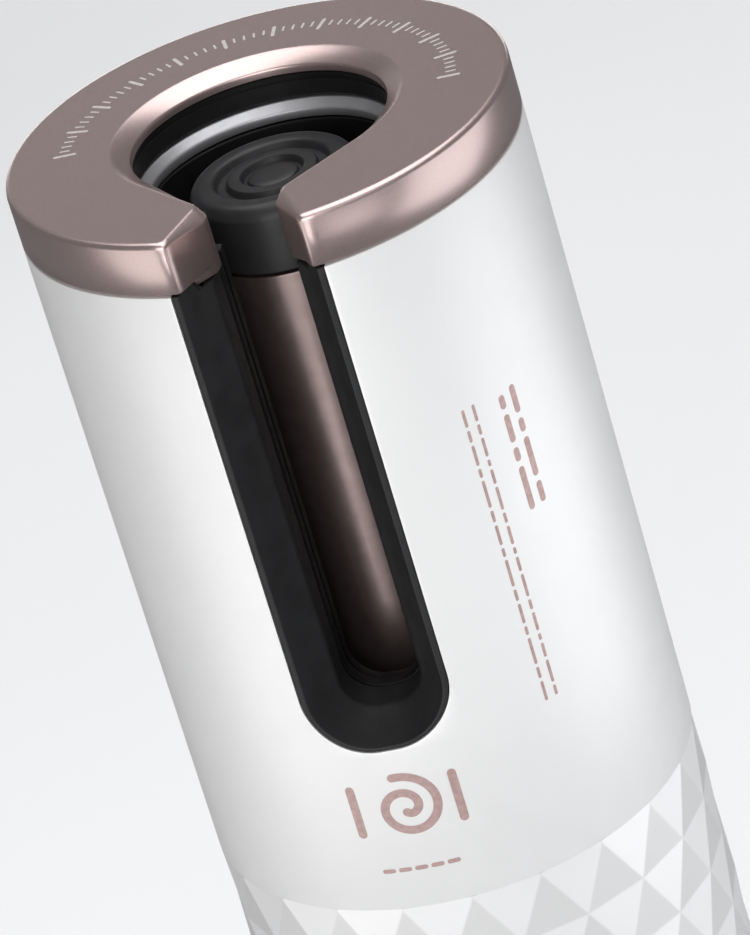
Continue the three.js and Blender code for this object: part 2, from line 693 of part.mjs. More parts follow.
function controlPanel() {
  let panel = frontal(panelOutline(RIM + GAP), PANEL_BACK, 40).intersect(disc(PANEL_FACE, 0, HEIGHT));
  for (const button of [POWER, HEAT, TIMER]) {
    panel = panel.subtract(frontPeg(button.x, button.z, button.r + GAP, 20, 40));
  }
  const { z, half, halfHeight, corner, axis } = ROCKER;
  panel = panel.subtract(frontal(roundedShape(half + 0.4, halfHeight + 0.4, corner + 0.4, 0, z), 20, 40, 4));
  const view = DISPLAY;
  const window = roundedShape(view.half + GAP, view.halfHeight + GAP, view.corner + GAP, 0, view.z);
  panel = panel.subtract(frontal(window, 20, 40, 4));
  for (const side of [-1, 1]) {
    const middle = z + side * (halfHeight + 1);
    const lug = block(-2, 2, -PANEL_BACK - 0.6, -axis + 1.1, middle - 0.5, middle + 0.5);
    panel = panel.add(lug);
  }
  return panel.subtract(peg(0, -axis, 1, z - 8, z + 8, 12));
}

function pushButton({ x, z, r }) {
  const button = turned([
    [0, BUTTON_BACK], [r + 0.7, BUTTON_BACK], [r + 0.7, BUTTON_BACK + 0.8], [r, BUTTON_BACK + 0.8],
    [r, BUTTON_FACE - 0.3], [r - 0.3, BUTTON_FACE], [0, BUTTON_FACE],
  ], 20);
  return button.rotate([90, 0, 0]).translate([x, 0, z]);
}

function directionRocker() {
  const { z, half, halfHeight, corner, axis } = ROCKER;
  return frontal(roundedShape(half, halfHeight, corner, 0, z), 26.9, 40, 4)
    .intersect(disc(BUTTON_FACE, 0, HEIGHT))
    .subtract(frontPeg(0, z, 26, 55.6, 60, 64).translate([0, -1, 0]))
    .subtract(peg(0, -axis, 1, z - 8, z + 8, 12));
}

function keySwitch(x, z, tip) {
  return block(x - 3, x + 3, -25.2, -BOARD_FACE - GAP, z - 3, z + 3)
    .add(frontPeg(x, z, 1.5, 25, tip, 12));
}

function displayWindow() {
  const { z, half, halfHeight, corner } = DISPLAY;
  return frontal(roundedShape(half, halfHeight, corner, 0, z), PANEL_BACK, 40, 4)
    .intersect(disc(PANEL_FACE + 0.05, 0, HEIGHT));
}

add('panel_bezel', panelBezel(), ROSE);
add('control_panel', controlPanel(), PEARL);
add('display_window', displayWindow(), WINDOW);
add('power_button', pushButton(POWER), ROSE);
add('heat_button', pushButton(HEAT), PEARL);
add('timer_button', pushButton(TIMER), PEARL);
add('direction_rocker', directionRocker(), PEARL);
add('rocker_pin', peg(0, -ROCKER.axis, 0.7, ROCKER.z - 5.4, ROCKER.z + 5.4, 12), STEEL);
add('power_switch', keySwitch(POWER.x, POWER.z, STEM_TIP), BLACK);
add('heat_switch', keySwitch(HEAT.x, HEAT.z, STEM_TIP), BLACK);
add('timer_switch', keySwitch(TIMER.x, TIMER.z, STEM_TIP), BLACK);
add('left_switch', keySwitch(-5.2, ROCKER.z, STEM_TIP - 0.1), BLACK);
add('right_switch', keySwitch(5.2, ROCKER.z, STEM_TIP - 0.1), BLACK);
add('display_module', block(-6, 6, -28, -BOARD_FACE - GAP, DISPLAY.z - 4.5, DISPLAY.z + 4.5), BLACK);
add('main_board', block(-15, 15, -BOARD_FACE, -BOARD_FACE + 1.5, 40, 99), BOARD);
add('buzzer', frontPeg(-7, 50, 4.5, 16.2, BOARD_FACE - 1.5 - GAP, 24), BLACK);
add('heater_driver', block(1, 11, -19.7, -15.2, 46, 61), BLACK);

// ---------------------------------------------------------------- screws

// A pan-head screw standing on z, head at the top when up is 1 and at the bottom when it is -1.
function screw(x, y, seat, length, r, headRadius, headHeight, up) {
  const shank = peg(x, y, r, 0, length + 0.2, 8);
  const head = peg(x, y, headRadius, 0, headHeight, 12).subtract(
    block(x - headRadius * 0.7, x + headRadius * 0.7, y - 0.25, y + 0.25, headHeight * 0.5, 9),
  );
  const whole = shank.translate([0, 0, -length]).add(head);
  const turn = up > 0 ? whole : whole.mirror([0, 0, 1]);
  return turn.translate([0, 0, seat]);
}

TUBE_SCREW_ANGLES.forEach((angle, i) => {
  const [x, y] = polar(TUBE_SCREW_RADIUS, angle);
  add(`tube_screw_${i + 1}`, screw(x, y, FLANGE_TOP + GAP, 9.5, 1.3, 2.6, 1.4, 1), STEEL);
});
LEGS.forEach(([x, y], i) => {
  add(`base_screw_${i + 1}`, screw(x, y, 3.9, 9.5, 1.3, 2.6, 1.2, -1), STEEL);
});
[-1, 1].forEach((side, i) => {
  const seat = FRAME_BOTTOM - GAP;
  add(`barrel_screw_${i + 1}`, screw(side * BARREL_SCREW_X, 0, seat, 8, 1.1, 2, 1.2, -1), STEEL);
  const top = FRAME_TOP + GAP;
  const x = side * MOTOR_SCREW_X;
  add(`motor_screw_${i + 1}`, screw(x, PINION_OFFSET, top, 7.5, 0.8, 1.5, 0.9, 1), STEEL);
});

export default group;
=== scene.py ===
"""Looks for the cordless automatic hair curler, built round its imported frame.

Metres, +Z up, hair slot and control panel facing -Y. Each section makes one piece or one
family of pieces. A profile is a closed loop of [radius, z] points that is turned about Z.
"""

import json
import math

import bmesh
import bpy
from mathutils import Matrix, Vector


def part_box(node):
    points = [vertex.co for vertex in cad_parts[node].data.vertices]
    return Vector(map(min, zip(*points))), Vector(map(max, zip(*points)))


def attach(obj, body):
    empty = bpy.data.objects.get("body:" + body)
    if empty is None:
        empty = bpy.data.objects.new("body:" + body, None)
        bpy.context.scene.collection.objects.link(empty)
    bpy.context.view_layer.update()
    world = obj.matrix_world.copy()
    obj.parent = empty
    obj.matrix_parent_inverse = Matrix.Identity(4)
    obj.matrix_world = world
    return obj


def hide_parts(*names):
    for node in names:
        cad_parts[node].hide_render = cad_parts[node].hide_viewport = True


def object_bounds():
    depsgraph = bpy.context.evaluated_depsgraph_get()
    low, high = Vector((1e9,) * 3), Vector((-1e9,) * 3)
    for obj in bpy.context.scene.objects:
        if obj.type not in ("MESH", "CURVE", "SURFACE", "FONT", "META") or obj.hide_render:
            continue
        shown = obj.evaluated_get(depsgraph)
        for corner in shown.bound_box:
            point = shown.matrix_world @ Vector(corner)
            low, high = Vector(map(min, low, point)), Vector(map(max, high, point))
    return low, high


MM = 0.001

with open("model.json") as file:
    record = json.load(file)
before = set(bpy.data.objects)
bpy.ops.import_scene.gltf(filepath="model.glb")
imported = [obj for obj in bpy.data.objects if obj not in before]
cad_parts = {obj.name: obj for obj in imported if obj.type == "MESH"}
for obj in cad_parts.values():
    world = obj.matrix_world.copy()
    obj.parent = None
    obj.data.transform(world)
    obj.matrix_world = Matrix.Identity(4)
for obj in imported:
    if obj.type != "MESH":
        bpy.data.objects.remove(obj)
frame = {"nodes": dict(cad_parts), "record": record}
CAD_LOW, CAD_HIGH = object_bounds()

# ---- sizes read from the frame

TOP = CAD_HIGH.z
RADIUS = CAD_HIGH.x


def z_span(node):
    low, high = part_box(node)
    return low.z, high.z


def outer_radius(node):
    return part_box(node)[1].x


CAP_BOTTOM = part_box("upper_shell")[1].z + 0.3 * MM
SKIRT_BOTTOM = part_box("chamber_tube")[1].z + 0.3 * MM
SHELL_LOW, SHELL_TOP = z_span("upper_shell")
GRIP_LOW, GRIP_TOP = z_span("grip_shell")
SLOT_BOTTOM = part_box("slot_bezel")[0].z
SLOT_HALF = outer_radius("slot_bezel")
SLOT_CORNER = 8.2 * MM
THROAT_HALF = 5.2 * MM
THROAT_BOTTOM = SLOT_BOTTOM + 2.5 * MM
THROAT_CORNER = 4.4 * MM

# ---- camera

CAMERA_AZIMUTH = 12.55
CAMERA_ELEVATION = 23.54
CAMERA_DISTANCE = 21.09 * RADIUS
AIM_YAW = -0.13
AIM_PITCH = -3.86
AIM_ROLL = 16.91
LENS = 211.7
SENSOR_WIDTH = 36
NEAREST, FURTHEST = 0.05, 20


def make_camera():
    """Faces the top of the axis, then is turned by the three aims and moved round Z."""
    elevation = math.radians(CAMERA_ELEVATION)
    forward = Vector((0, math.cos(elevation), -math.sin(elevation)))
    right = Vector((1, 0, 0))
    up = right.cross(forward)
    place = Vector((0, 0, TOP)) - forward * CAMERA_DISTANCE
    for name, degrees in (("up", AIM_YAW), ("right", AIM_PITCH), ("forward", AIM_ROLL)):
        axis = {"up": up, "right": right, "forward": forward}[name]
        turn = Matrix.Rotation(math.radians(degrees), 3, axis.copy())
        forward, right, up = turn @ forward, turn @ right, turn @ up
    around = Matrix.Rotation(math.radians(CAMERA_AZIMUTH), 3, "Z")
    forward, right, up, place = around @ forward, around @ right, around @ up, around @ place
    data = bpy.data.cameras.new("camera")
    data.lens = LENS
    data.sensor_width = SENSOR_WIDTH
    data.clip_start, data.clip_end = NEAREST, FURTHEST
    camera = bpy.data.objects.new("camera", data)
    bpy.context.collection.objects.link(camera)
    turn = Matrix((right, up, -forward)).transposed()
    camera.matrix_world = Matrix.Translation(place) @ turn.to_4x4()
    bpy.context.scene.camera = camera


make_camera()

# ---- materials


class Shader:
    """A small helper round one material's node tree."""

    def __init__(self, name, **values):
        self.material = bpy.data.materials.new(name)
        self.material.use_nodes = True
        self.tree = self.material.node_tree
        self.bsdf = self.tree.nodes["Principled BSDF"]
        self.coords = self.add("ShaderNodeTexCoord").outputs["Object"]
        for key, value in values.items():
            self.bsdf.inputs[key.replace("_", " ")].default_value = value

    def add(self, kind, **values):
        node = self.tree.nodes.new(kind)
        for key, value in values.items():
            if key in node.inputs:
                node.inputs[key].default_value = value
            else:
                setattr(node, key, value)
        return node

    def link(self, source, target):
        self.tree.links.new(source, target)

    def noise(self, scale, detail=2.0, roughness=0.5, stretch=(1, 1, 1)):
        """Noise in object space, scale in features per metre."""
        mapping = self.add("ShaderNodeMapping")
        mapping.inputs["Scale"].default_value = stretch
        self.link(self.coords, mapping.inputs["Vector"])
        node = self.add("ShaderNodeTexNoise", Scale=scale, Detail=detail, Roughness=roughness)
        self.link(mapping.outputs["Vector"], node.inputs["Vector"])
        return node.outputs["Fac"]

    def ramp(self, source, low, high, start=0.3, end=0.7):
        node = self.add("ShaderNodeMapRange")
        node.inputs["From Min"].default_value = start
        node.inputs["From Max"].default_value = end
        node.inputs["To Min"].default_value = low
        node.inputs["To Max"].default_value = high
        self.link(source, node.inputs["Value"])
        return node.outputs["Result"]

    def colour(self, source, first, second, start=0.3, end=0.7):
        node = self.add("ShaderNodeValToRGB")
        node.color_ramp.elements[0].position = start
        node.color_ramp.elements[1].position = end
        node.color_ramp.elements[0].color = (*first, 1)
        node.color_ramp.elements[1].color = (*second, 1)
        self.link(source, node.inputs["Fac"])
        self.link(node.outputs["Color"], self.bsdf.inputs["Base Color"])

    def rough(self, source, low, high, start=0.3, end=0.7):
        self.link(self.ramp(source, low, high, start, end), self.bsdf.inputs["Roughness"])

    def bump(self, *layers):
        """Each layer is a height source, a strength and a distance in metres."""
        last = None
        for height, strength, distance in layers:
            node = self.add("ShaderNodeBump", Strength=strength, Distance=distance)
            self.link(height, node.inputs["Height"])
            if last is not None:
                self.link(last, node.inputs["Normal"])
            last = node.outputs["Normal"]
        self.link(last, self.bsdf.inputs["Normal"])


def pearl_lacquer():
    s = Shader("pearl_lacquer", Metallic=0.35, Coat_Weight=0.15, Coat_Roughness=0.45, IOR=1.46)
    s.colour(s.noise(35, 3), (0.775, 0.775, 0.775), (0.80, 0.80, 0.80))
    s.rough(s.noise(420, 4), 0.46, 0.54)
    s.bump((s.noise(900, 2), 0.02, 0.00001))
    return s.material


def pearl_with_painted_shade():
    """Pearl with painted shade: facets that tip down are painted darker and facets that tip up
    lighter, standing in for light from above.
    """
    s = Shader("pearl_with_painted_shade", Metallic=0.35, Coat_Weight=0.2, Coat_Roughness=0.15, IOR=1.46)
    normal = s.add("ShaderNodeSeparateXYZ")
    s.link(s.coords.node.outputs["Normal"], normal.inputs["Vector"])
    # Painted shade: the base colour follows how far each facet's normal tips up or down.
    facet_shade_mask = s.ramp(normal.outputs["Z"], 0, 1, -0.045, 0.045)
    s.colour(facet_shade_mask, (0.70, 0.70, 0.70), (0.83, 0.83, 0.835), 0, 1)
    s.rough(s.noise(120, 3), 0.42, 0.48)
    s.bump((s.noise(60, 1), 0.02, 0.00001))
    return s.material


def rose_paint():
    s = Shader("rose_gold_paint", Metallic=0.9, Coat_Weight=0.15, Coat_Roughness=0.2)
    flake = s.noise(5200, 2, 0.6)
    s.colour(flake, (0.575, 0.445, 0.425), (0.63, 0.495, 0.475), 0.35, 0.65)
    s.rough(flake, 0.29, 0.35, 0.35, 0.65)
    s.bump((flake, 0.05, 0.00002), (s.noise(1400, 2), 0.03, 0.00002))
    return s.material


def satin_black(name="satin_black", level=0.010, rough=(0.34, 0.44)):
    """A faintly blue black. level is its darkest red and green."""
    s = Shader(name, IOR=1.42)
    first = (level, level, level * 1.08)
    second = (level * 1.4, level * 1.4, level * 1.52)
    s.colour(s.noise(260, 4), first, second)
    s.rough(s.noise(500, 3), *rough)
    s.bump((s.noise(3200, 3), 0.06, 0.00002))
    return s.material


def bronze_coating():
    s = Shader("bronze_coating", Metallic=0.85, IOR=1.5)
    grain = s.noise(1500, 3, 0.6, (1, 1, 0.04))
    s.colour(s.noise(600, 2), (0.20, 0.152, 0.142), (0.225, 0.173, 0.163))
    s.rough(grain, 0.29, 0.35)
    s.bump((grain, 0.04, 0.00002))
    return s.material


def satin_silver():
    s = Shader("satin_silver", Metallic=0.8)
    s.colour(s.noise(300, 3), (0.50, 0.50, 0.52), (0.56, 0.56, 0.58))
    s.rough(s.noise(1800, 3), 0.38, 0.46)
    s.bump((s.noise(3000, 2), 0.03, 0.00001))
    return s.material


def dusty_print():
    s = Shader("dusty_print", Metallic=0.35)
    s.colour(s.noise(1500, 3), (0.40, 0.27, 0.255), (0.50, 0.36, 0.34))
    s.rough(s.noise(900, 2), 0.42, 0.55)
    s.bump((s.noise(2600, 2), 0.08, 0.00002))
    return s.material


def pale_print():
    s = Shader("pale_print")
    s.colour(s.noise(1500, 3), (0.52, 0.49, 0.47), (0.60, 0.57, 0.55))
    s.rough(s.noise(900, 2), 0.45, 0.6)
    s.bump((s.noise(2600, 2), 0.06, 0.00002))
    return s.material


def brushed_steel(name="brushed_steel", tone=0.5):
    s = Shader(name, Metallic=1.0)
    grain = s.noise(700, 4, 0.6, (1, 1, 0.08))
    s.colour(grain, (tone, tone, tone * 1.02), (tone * 1.25,) * 3)
    s.rough(grain, 0.26, 0.42)
    s.bump((grain, 0.06, 0.00003))
    return s.material


def plain_moulding(name, first, second, rough=(0.42, 0.56), grain=2200):
    s = Shader(name)
    s.colour(s.noise(240, 3), first, second)
    s.rough(s.noise(600, 3), *rough)
    s.bump((s.noise(grain, 3), 0.12, 0.00004))
    return s.material


def smoked_window():
    s = Shader("smoked_window", Coat_Weight=0.6, Coat_Roughness=0.14, IOR=1.52)
    s.colour(s.noise(60, 2), (0.004, 0.0045, 0.006), (0.007, 0.0075, 0.009))
    s.rough(s.noise(300, 2), 0.16, 0.22)
    s.bump((s.noise(120, 1), 0.02, 0.00003))
    return s.material


PEARL = pearl_lacquer()
FACET_PEARL_WITH_PAINTED_SHADE = pearl_with_painted_shade()
ROSE = rose_paint()
BLACK = satin_black()
SOFT_BLACK = satin_black("soft_black", 0.016, (0.36, 0.46))
FUNNEL_BLACK = satin_black("funnel_black", 0.0135, (0.5, 0.6))
# Darker than the other blacks: the chamber wall and drum are black plastic, and their extra
# darkness is painted shade deep in the slot.
SLOT_SHADE_BLACK = satin_black("black_with_painted_slot_shade", 0.004, (0.5, 0.62))
BRONZE = bronze_coating()
SILVER = satin_silver()
PRINT = dusty_print()
PALE_PRINT = pale_print()
STEEL = brushed_steel()
ALUMINIUM = brushed_steel("extruded_aluminium", 0.62)
ACETAL = plain_moulding("acetal", (0.72, 0.70, 0.63), (0.78, 0.76, 0.70), (0.35, 0.5))
BOARD = plain_moulding("circuit_board", (0.012, 0.09, 0.04), (0.02, 0.13, 0.06), (0.3, 0.42), 900)
CERAMIC = plain_moulding("ceramic", (0.74, 0.72, 0.67), (0.8, 0.78, 0.74), (0.6, 0.75))
RUBBER = plain_moulding("rubber", (0.022, 0.022, 0.024), (0.032, 0.032, 0.034), (0.7, 0.85), 1800)
SLEEVE = plain_moulding("cell_sleeve", (0.02, 0.10, 0.22), (0.03, 0.13, 0.27), (0.2, 0.32), 500)
WINDOW = smoked_window()

SLOT_MATERIALS = {
    "rose_paint": ROSE, "pearl_plastic": PEARL, "black_plastic": BLACK, "silver_trim": SILVER,
    "bronze_coating": BRONZE, "steel": STEEL, "aluminium": ALUMINIUM, "acetal": ACETAL,
    "circuit_board": BOARD, "ceramic": CERAMIC, "rubber": RUBBER, "window": WINDOW,
    "cell_sleeve": SLEEVE,
}
NODE_SLOTS = {part["node"]: part["material_slot"] for part in frame["record"]["subparts"]}

for node_name, node_object in frame["nodes"].items():
    node_object.data.materials.clear()
    node_object.data.materials.append(SLOT_MATERIALS[NODE_SLOTS[node_name]])

# ---- mesh helpers

MERGE_DISTANCE = 1e-7
ON_AXIS = 1e-9
# A distance from the axis that is clear of the object, for the ends of cutters.
CLEAR = 40 * MM


def finish_piece(piece, material, body, node=None, slot=None, smooth_angle=35):
    piece.data.materials.append(material)
    piece.data.shade_smooth()
    piece.data.set_sharp_from_angle(angle=math.radians(smooth_angle))
    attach(piece, body)
    if node:
        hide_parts(node)
    slot or NODE_SLOTS[node]
    return piece


def new_object(name, data):
    piece = bpy.data.objects.new(name, data)
    bpy.context.collection.objects.link(piece)
    return piece


def mesh_object(name, vertices, faces):
    mesh = bpy.data.meshes.new(name)
    mesh.from_pydata([tuple(v) for v in vertices], [], faces)
    bm = bmesh.new()
    bm.from_mesh(mesh)
    bmesh.ops.remove_doubles(bm, verts=bm.verts, dist=MERGE_DISTANCE)
    bmesh.ops.recalc_face_normals(bm, faces=bm.faces)
    bm.to_mesh(mesh)
    bm.free()
    return new_object(name, mesh)


def apply_modifiers(piece):
    bpy.context.view_layer.update()
    graph = bpy.context.evaluated_depsgraph_get()
    mesh = bpy.data.meshes.new_from_object(piece.evaluated_get(graph))
    piece.modifiers.clear()
    piece.data = mesh
    return piece


def cut(piece, *cutters, operation="DIFFERENCE"):
    """Applies each cutter in turn and removes it."""
    for cutter in cutters:
        modifier = piece.modifiers.new("cut", "BOOLEAN")
        modifier.object = cutter
        modifier.operation = operation
        modifier.solver = "EXACT"
        apply_modifiers(piece)
        bpy.data.objects.remove(cutter)
    return piece


def bevelled(piece, width, segments=2, angle=40):
    modifier = piece.modifiers.new("bevel", "BEVEL")
    modifier.width = width
    modifier.segments = segments
    modifier.limit_method = "ANGLE"
    modifier.angle_limit = math.radians(angle)
    modifier.use_clamp_overlap = True
    return apply_modifiers(piece)


def band(first, second, count, closed=True):
    """Quads between two loops of count vertices that start at first and second."""
    return [
        (first + i, first + (i + 1) % count, second + (i + 1) % count, second + i)
        for i in range(count if closed else count - 1)
    ]


def in_metres(points):
    return [(a * MM, b * MM) for a, b in points]


def turned(name, profile, steps=192, start=None, end=None):
    """Turns a profile about Z. start and end, functions of radius, leave a gap at the front."""
    closed = start is None
    columns = steps if closed else steps + 1
    vertices = []
    for column in range(columns):
        for r, z in profile:
            low = 0 if closed else start(r)
            high = 2 * math.pi if closed else end(r)
            angle = low + (high - low) * (column / steps)
            vertices.append((r * math.sin(angle), -r * math.cos(angle), z))
    count = len(profile)
    on_axis = [max(profile[i][0], profile[(i + 1) % count][0]) < ON_AXIS for i in range(count)]
    faces = []
    for column in range(steps):
        quads = band(column * count, (column + 1) % columns * count, count)
        faces += [quad for quad, flat in zip(quads, on_axis) if not flat]
    if not closed:
        faces.append(tuple(range(count)))
        faces.append(tuple(reversed(range(steps * count, steps * count + count))))
    return mesh_object(name, vertices, faces)


def prism(name, outline, place_low, place_high):
    """A closed solid from a 2D outline, each end placed by a function of its point."""
    count = len(outline)
    vertices = [place_low(p) for p in outline] + [place_high(p) for p in outline]
    faces = [tuple(range(count)), tuple(reversed(range(count, 2 * count)))]
    return mesh_object(name, vertices, faces + band(0, count, count))


def rounded_outline(half, half_height, corner, z=0.0, x=0.0, steps=12):
    """A rectangle with round corners about [x, z], steps to each corner."""
    points = []
    centres = ((1, 1, 0), (-1, 1, 90), (-1, -1, 180), (1, -1, 270))
    for side, upright, first in centres:
        for i in range(steps + 1):
            angle = math.radians(first + 90 * i / steps)
            px = x + side * (half - corner) + corner * math.cos(angle)
            pz = z + upright * (half_height - corner) + corner * math.sin(angle)
            points.append((px, pz))
    return points


def round_outline(x, y, radius, steps):
    turns = [2 * math.pi * i / steps for i in range(steps)]
    return [(x + radius * math.cos(turn), y + radius * math.sin(turn)) for turn in turns]


def slot_outline(half, bottom, top, corner, steps=20):
    """The U of the hair slot, from its top left down and round to its top right."""
    points = [(-half, top)]
    for centre, first in ((-half + corner, 180), (half - corner, 270)):
        for i in range(steps + 1):
            angle = math.radians(first + 90 * i / steps)
            x = centre + corner * math.cos(angle)
            points.append((x, bottom + corner + corner * math.sin(angle)))
    points.append((half, top))
    return points


def frontal_prism(name, outline, near, far):
    """A prism along Y, between two distances in front of the axis."""
    return prism(name, outline, lambda p: (p[0], -near, p[1]), lambda p: (p[0], -far, p[1]))


def rear_prism(name, outline, near, far):
    return frontal_prism(name, outline, -near, -far)


def slot_cutter(half, bottom, corner, near=12 * MM, far=CLEAR):
    outline = slot_outline(half, bottom, TOP + 20 * MM, corner)
    return frontal_prism("cutter", outline, near, far)


# ---- cap

# Angles are degrees round from the front, lengths are millimetres.
MOUTH_FLARE = 48
OUTER_CORNER = 15.0
NOSE_DISTANCE = 22.4
THROAT_MOUTH, MOUTH_BEVEL = 16.3, 2.3
THROAT_NOSE_HALF, NOSE_HALF_BEVEL = 4.3, 0.75
THROAT_NOSE_RADIUS, NOSE_RADIUS_BEVEL = 2.6, 0.5
CUT_LENGTH = 8
NOSE_STEPS, FLARE_STEPS, MOUTH_STEPS, CUT_STEPS, RIM_STEPS = 10, 8, 56, 6, 120


def polar(radius, degrees):
    """A point, its angle round from the front towards +X."""
    angle = math.radians(degrees)
    return Vector((radius * math.sin(angle), -radius * math.cos(angle)))


def tangent_angle(point, centre, radius, side):
    """Where on a circle the tangent from a point touches it, in radians."""
    away = point - centre
    return math.atan2(away.y, away.x) + side * math.acos(radius / away.length)


def keyhole_half(mouth, nose_half, nose_radius, outer, inset, bore=None):
    """One side of the cap's opening: cut face, rounded nose, flare, then the mouth or bore."""
    centre = Vector((nose_half + nose_radius, -NOSE_DISTANCE))
    corner = polar(outer, OUTER_CORNER) + Vector((inset, 0))
    first = tangent_angle(corner, centre, nose_radius, -1) % (2 * math.pi)
    flare_end = polar(mouth, MOUTH_FLARE)
    last = tangent_angle(flare_end, centre, nose_radius, 1) % (2 * math.pi)

    def on_nose(angle):
        return centre + nose_radius * Vector((math.cos(angle), math.sin(angle)))

    points = [corner.lerp(on_nose(first), i / CUT_STEPS) for i in range(CUT_STEPS)]
    points += [on_nose(first + (last - first) * i / NOSE_STEPS) for i in range(NOSE_STEPS)]
    points += [on_nose(last).lerp(flare_end, i / FLARE_STEPS) for i in range(FLARE_STEPS)]
    for i in range(MOUTH_STEPS + 1):
        radius = bore if bore and i else mouth
        points.append(polar(radius, MOUTH_FLARE + (180 - MOUTH_FLARE) * i / MOUTH_STEPS))
    return points


def collar_loop(outer, outer_z, share, inner_z, inset, chamfer, bore=None):
    """A closed loop of the cap. share runs from the throat, 0, to the top edge of the mouth, 1."""
    mouth = THROAT_MOUTH + MOUTH_BEVEL * share
    nose_half = THROAT_NOSE_HALF + NOSE_HALF_BEVEL * share + inset
    nose_radius = THROAT_NOSE_RADIUS - NOSE_RADIUS_BEVEL * share
    side = keyhole_half(mouth, nose_half, nose_radius, outer, inset, bore)
    side[0] = side[0].lerp(side[CUT_STEPS], chamfer / CUT_LENGTH)
    rise = inner_z - outer_z
    right = [
        Vector((p.x, p.y, outer_z + rise * min(1, i / CUT_STEPS))) for i, p in enumerate(side)
    ]
    left = [Vector((-p.x, p.y, p.z)) for p in reversed(right[:-1])]
    edge = OUTER_CORNER + math.degrees((chamfer + inset) / outer)
    rim = [polar(outer, -edge - (360 - 2 * edge) * i / RIM_STEPS) for i in range(RIM_STEPS + 1)]
    return right + left + [Vector((p.x, p.y, outer_z)) for p in rim]


def lofted(name, loops, closed=False):
    """Quads between loops of equal length, with a face over the first and the last."""
    count = len(loops[0])
    vertices = [v for loop in loops for v in loop]
    faces = []
    for k in range(len(loops) if closed else len(loops) - 1):
        faces += band(k * count, (k + 1) % len(loops) * count, count)
    if not closed:
        faces.append(tuple(reversed(range(count))))
        faces.append(tuple(range((len(loops) - 1) * count, len(loops) * count)))
    return mesh_object(name, vertices, faces)


def flatten_large_faces(piece, corners=8):
    for polygon in piece.data.polygons:
        if len(polygon.vertices) > corners:
            polygon.use_smooth = False


def cap_collar():
    """Layers from the skirt up: the arguments of collar_loop, with a bore below the mouth."""
    top, low, skirt = TOP / MM, CAP_BOTTOM / MM, SKIRT_BOTTOM / MM
    outer, plug, bore = RADIUS / MM, 27.5, 19.2
    layers = (
        (plug - 0.2, skirt, 0, skirt, 0.15, 0.3, bore),
        (plug, skirt + 0.2, 0, skirt + 0.2, 0, 0.15, bore),
        (plug, low - 0.05, 0, low - 0.5, 0, 0.1, bore),
        (outer - 0.2, low, 0, low - 0.2, 0, 0.3, bore),
        (outer, low + 0.2, 0, low + 0.1, 0, 0.3, bore),
        (outer, top - 2.6, 0, top - 2.42, 0, 0.3, bore),
        (outer, top - 2.5, 0, top - 2.4, 0, 0.3),
        (outer, top - 0.75, 0, top - 1.7, 0, 0.3),
        (outer - 0.07, top - 0.45, 0.02, top - 1.45, 0.05, 0.32),
        (outer - 0.24, top - 0.2, 0.07, top - 1.32, 0.18, 0.36),
        (outer - 0.48, top - 0.06, 0.90, top - 0.13, 0.36, 0.42),
        (outer - 0.75, top, 1.0, top - 0.03, 0.6, 0.5),
        (outer - 0.85, top, 1.06, top, 0.7, 0.52),
    )
    loops = [[p * MM for p in collar_loop(*layer)] for layer in layers]
    piece = lofted("cap_collar", loops)
    finish_piece(piece, ROSE, "casing", "cap_ring", smooth_angle=50)
    flatten_large_faces(piece)


def cap_inner_liner():
    low, high = z_span("cap_liner")
    inner, outer = 16.6 * MM, 19.0 * MM
    groove = 0.22 * MM
    gap = math.radians(MOUTH_FLARE + 0.8)
    profile = (
        (inner, low + 0.2 * MM), (inner + 0.2 * MM, low), (outer, low), (outer, high),
        (inner + 0.25 * MM, high), (inner, high - 0.15 * MM), (inner, high - 0.55 * MM),
        (inner + groove, high - 0.65 * MM), (inner + groove, high - 0.95 * MM),
        (inner, high - 1.05 * MM),
    )
    piece = turned("chamber_collar", profile, 160, lambda r: gap, lambda r: 2 * math.pi - gap)
    finish_piece(piece, BLACK, "casing", "cap_liner")


cap_collar()
cap_inner_liner()

# ---- head shell and bezel


def head_shell():
    """Two rings of points just under the slot keep its round end from shading the wall below."""
    inner = RADIUS - 2.2 * MM
    fillet, gap = 0.2 * MM, 0.12 * MM
    bottom = SHELL_LOW - 0.25 * MM
    profile = (
        (inner, bottom), (RADIUS - fillet, bottom),
        (RADIUS - fillet * 0.3, bottom + fillet * 0.3), (RADIUS, bottom + fillet),
        (RADIUS, SLOT_BOTTOM - 1.6 * MM), (RADIUS, SLOT_BOTTOM - 0.6 * MM),
        (RADIUS, SHELL_TOP - fillet), (RADIUS - fillet * 0.3, SHELL_TOP - fillet * 0.3),
        (RADIUS - fillet, SHELL_TOP), (inner, SHELL_TOP),
    )
    piece = turned("head_shell", profile, 240)
    cut(piece, slot_cutter(SLOT_HALF + gap, SLOT_BOTTOM - gap, SLOT_CORNER + gap))
    bevelled(piece, 0.12 * MM, 2, 60)
    finish_piece(piece, PEARL, "casing", "upper_shell")


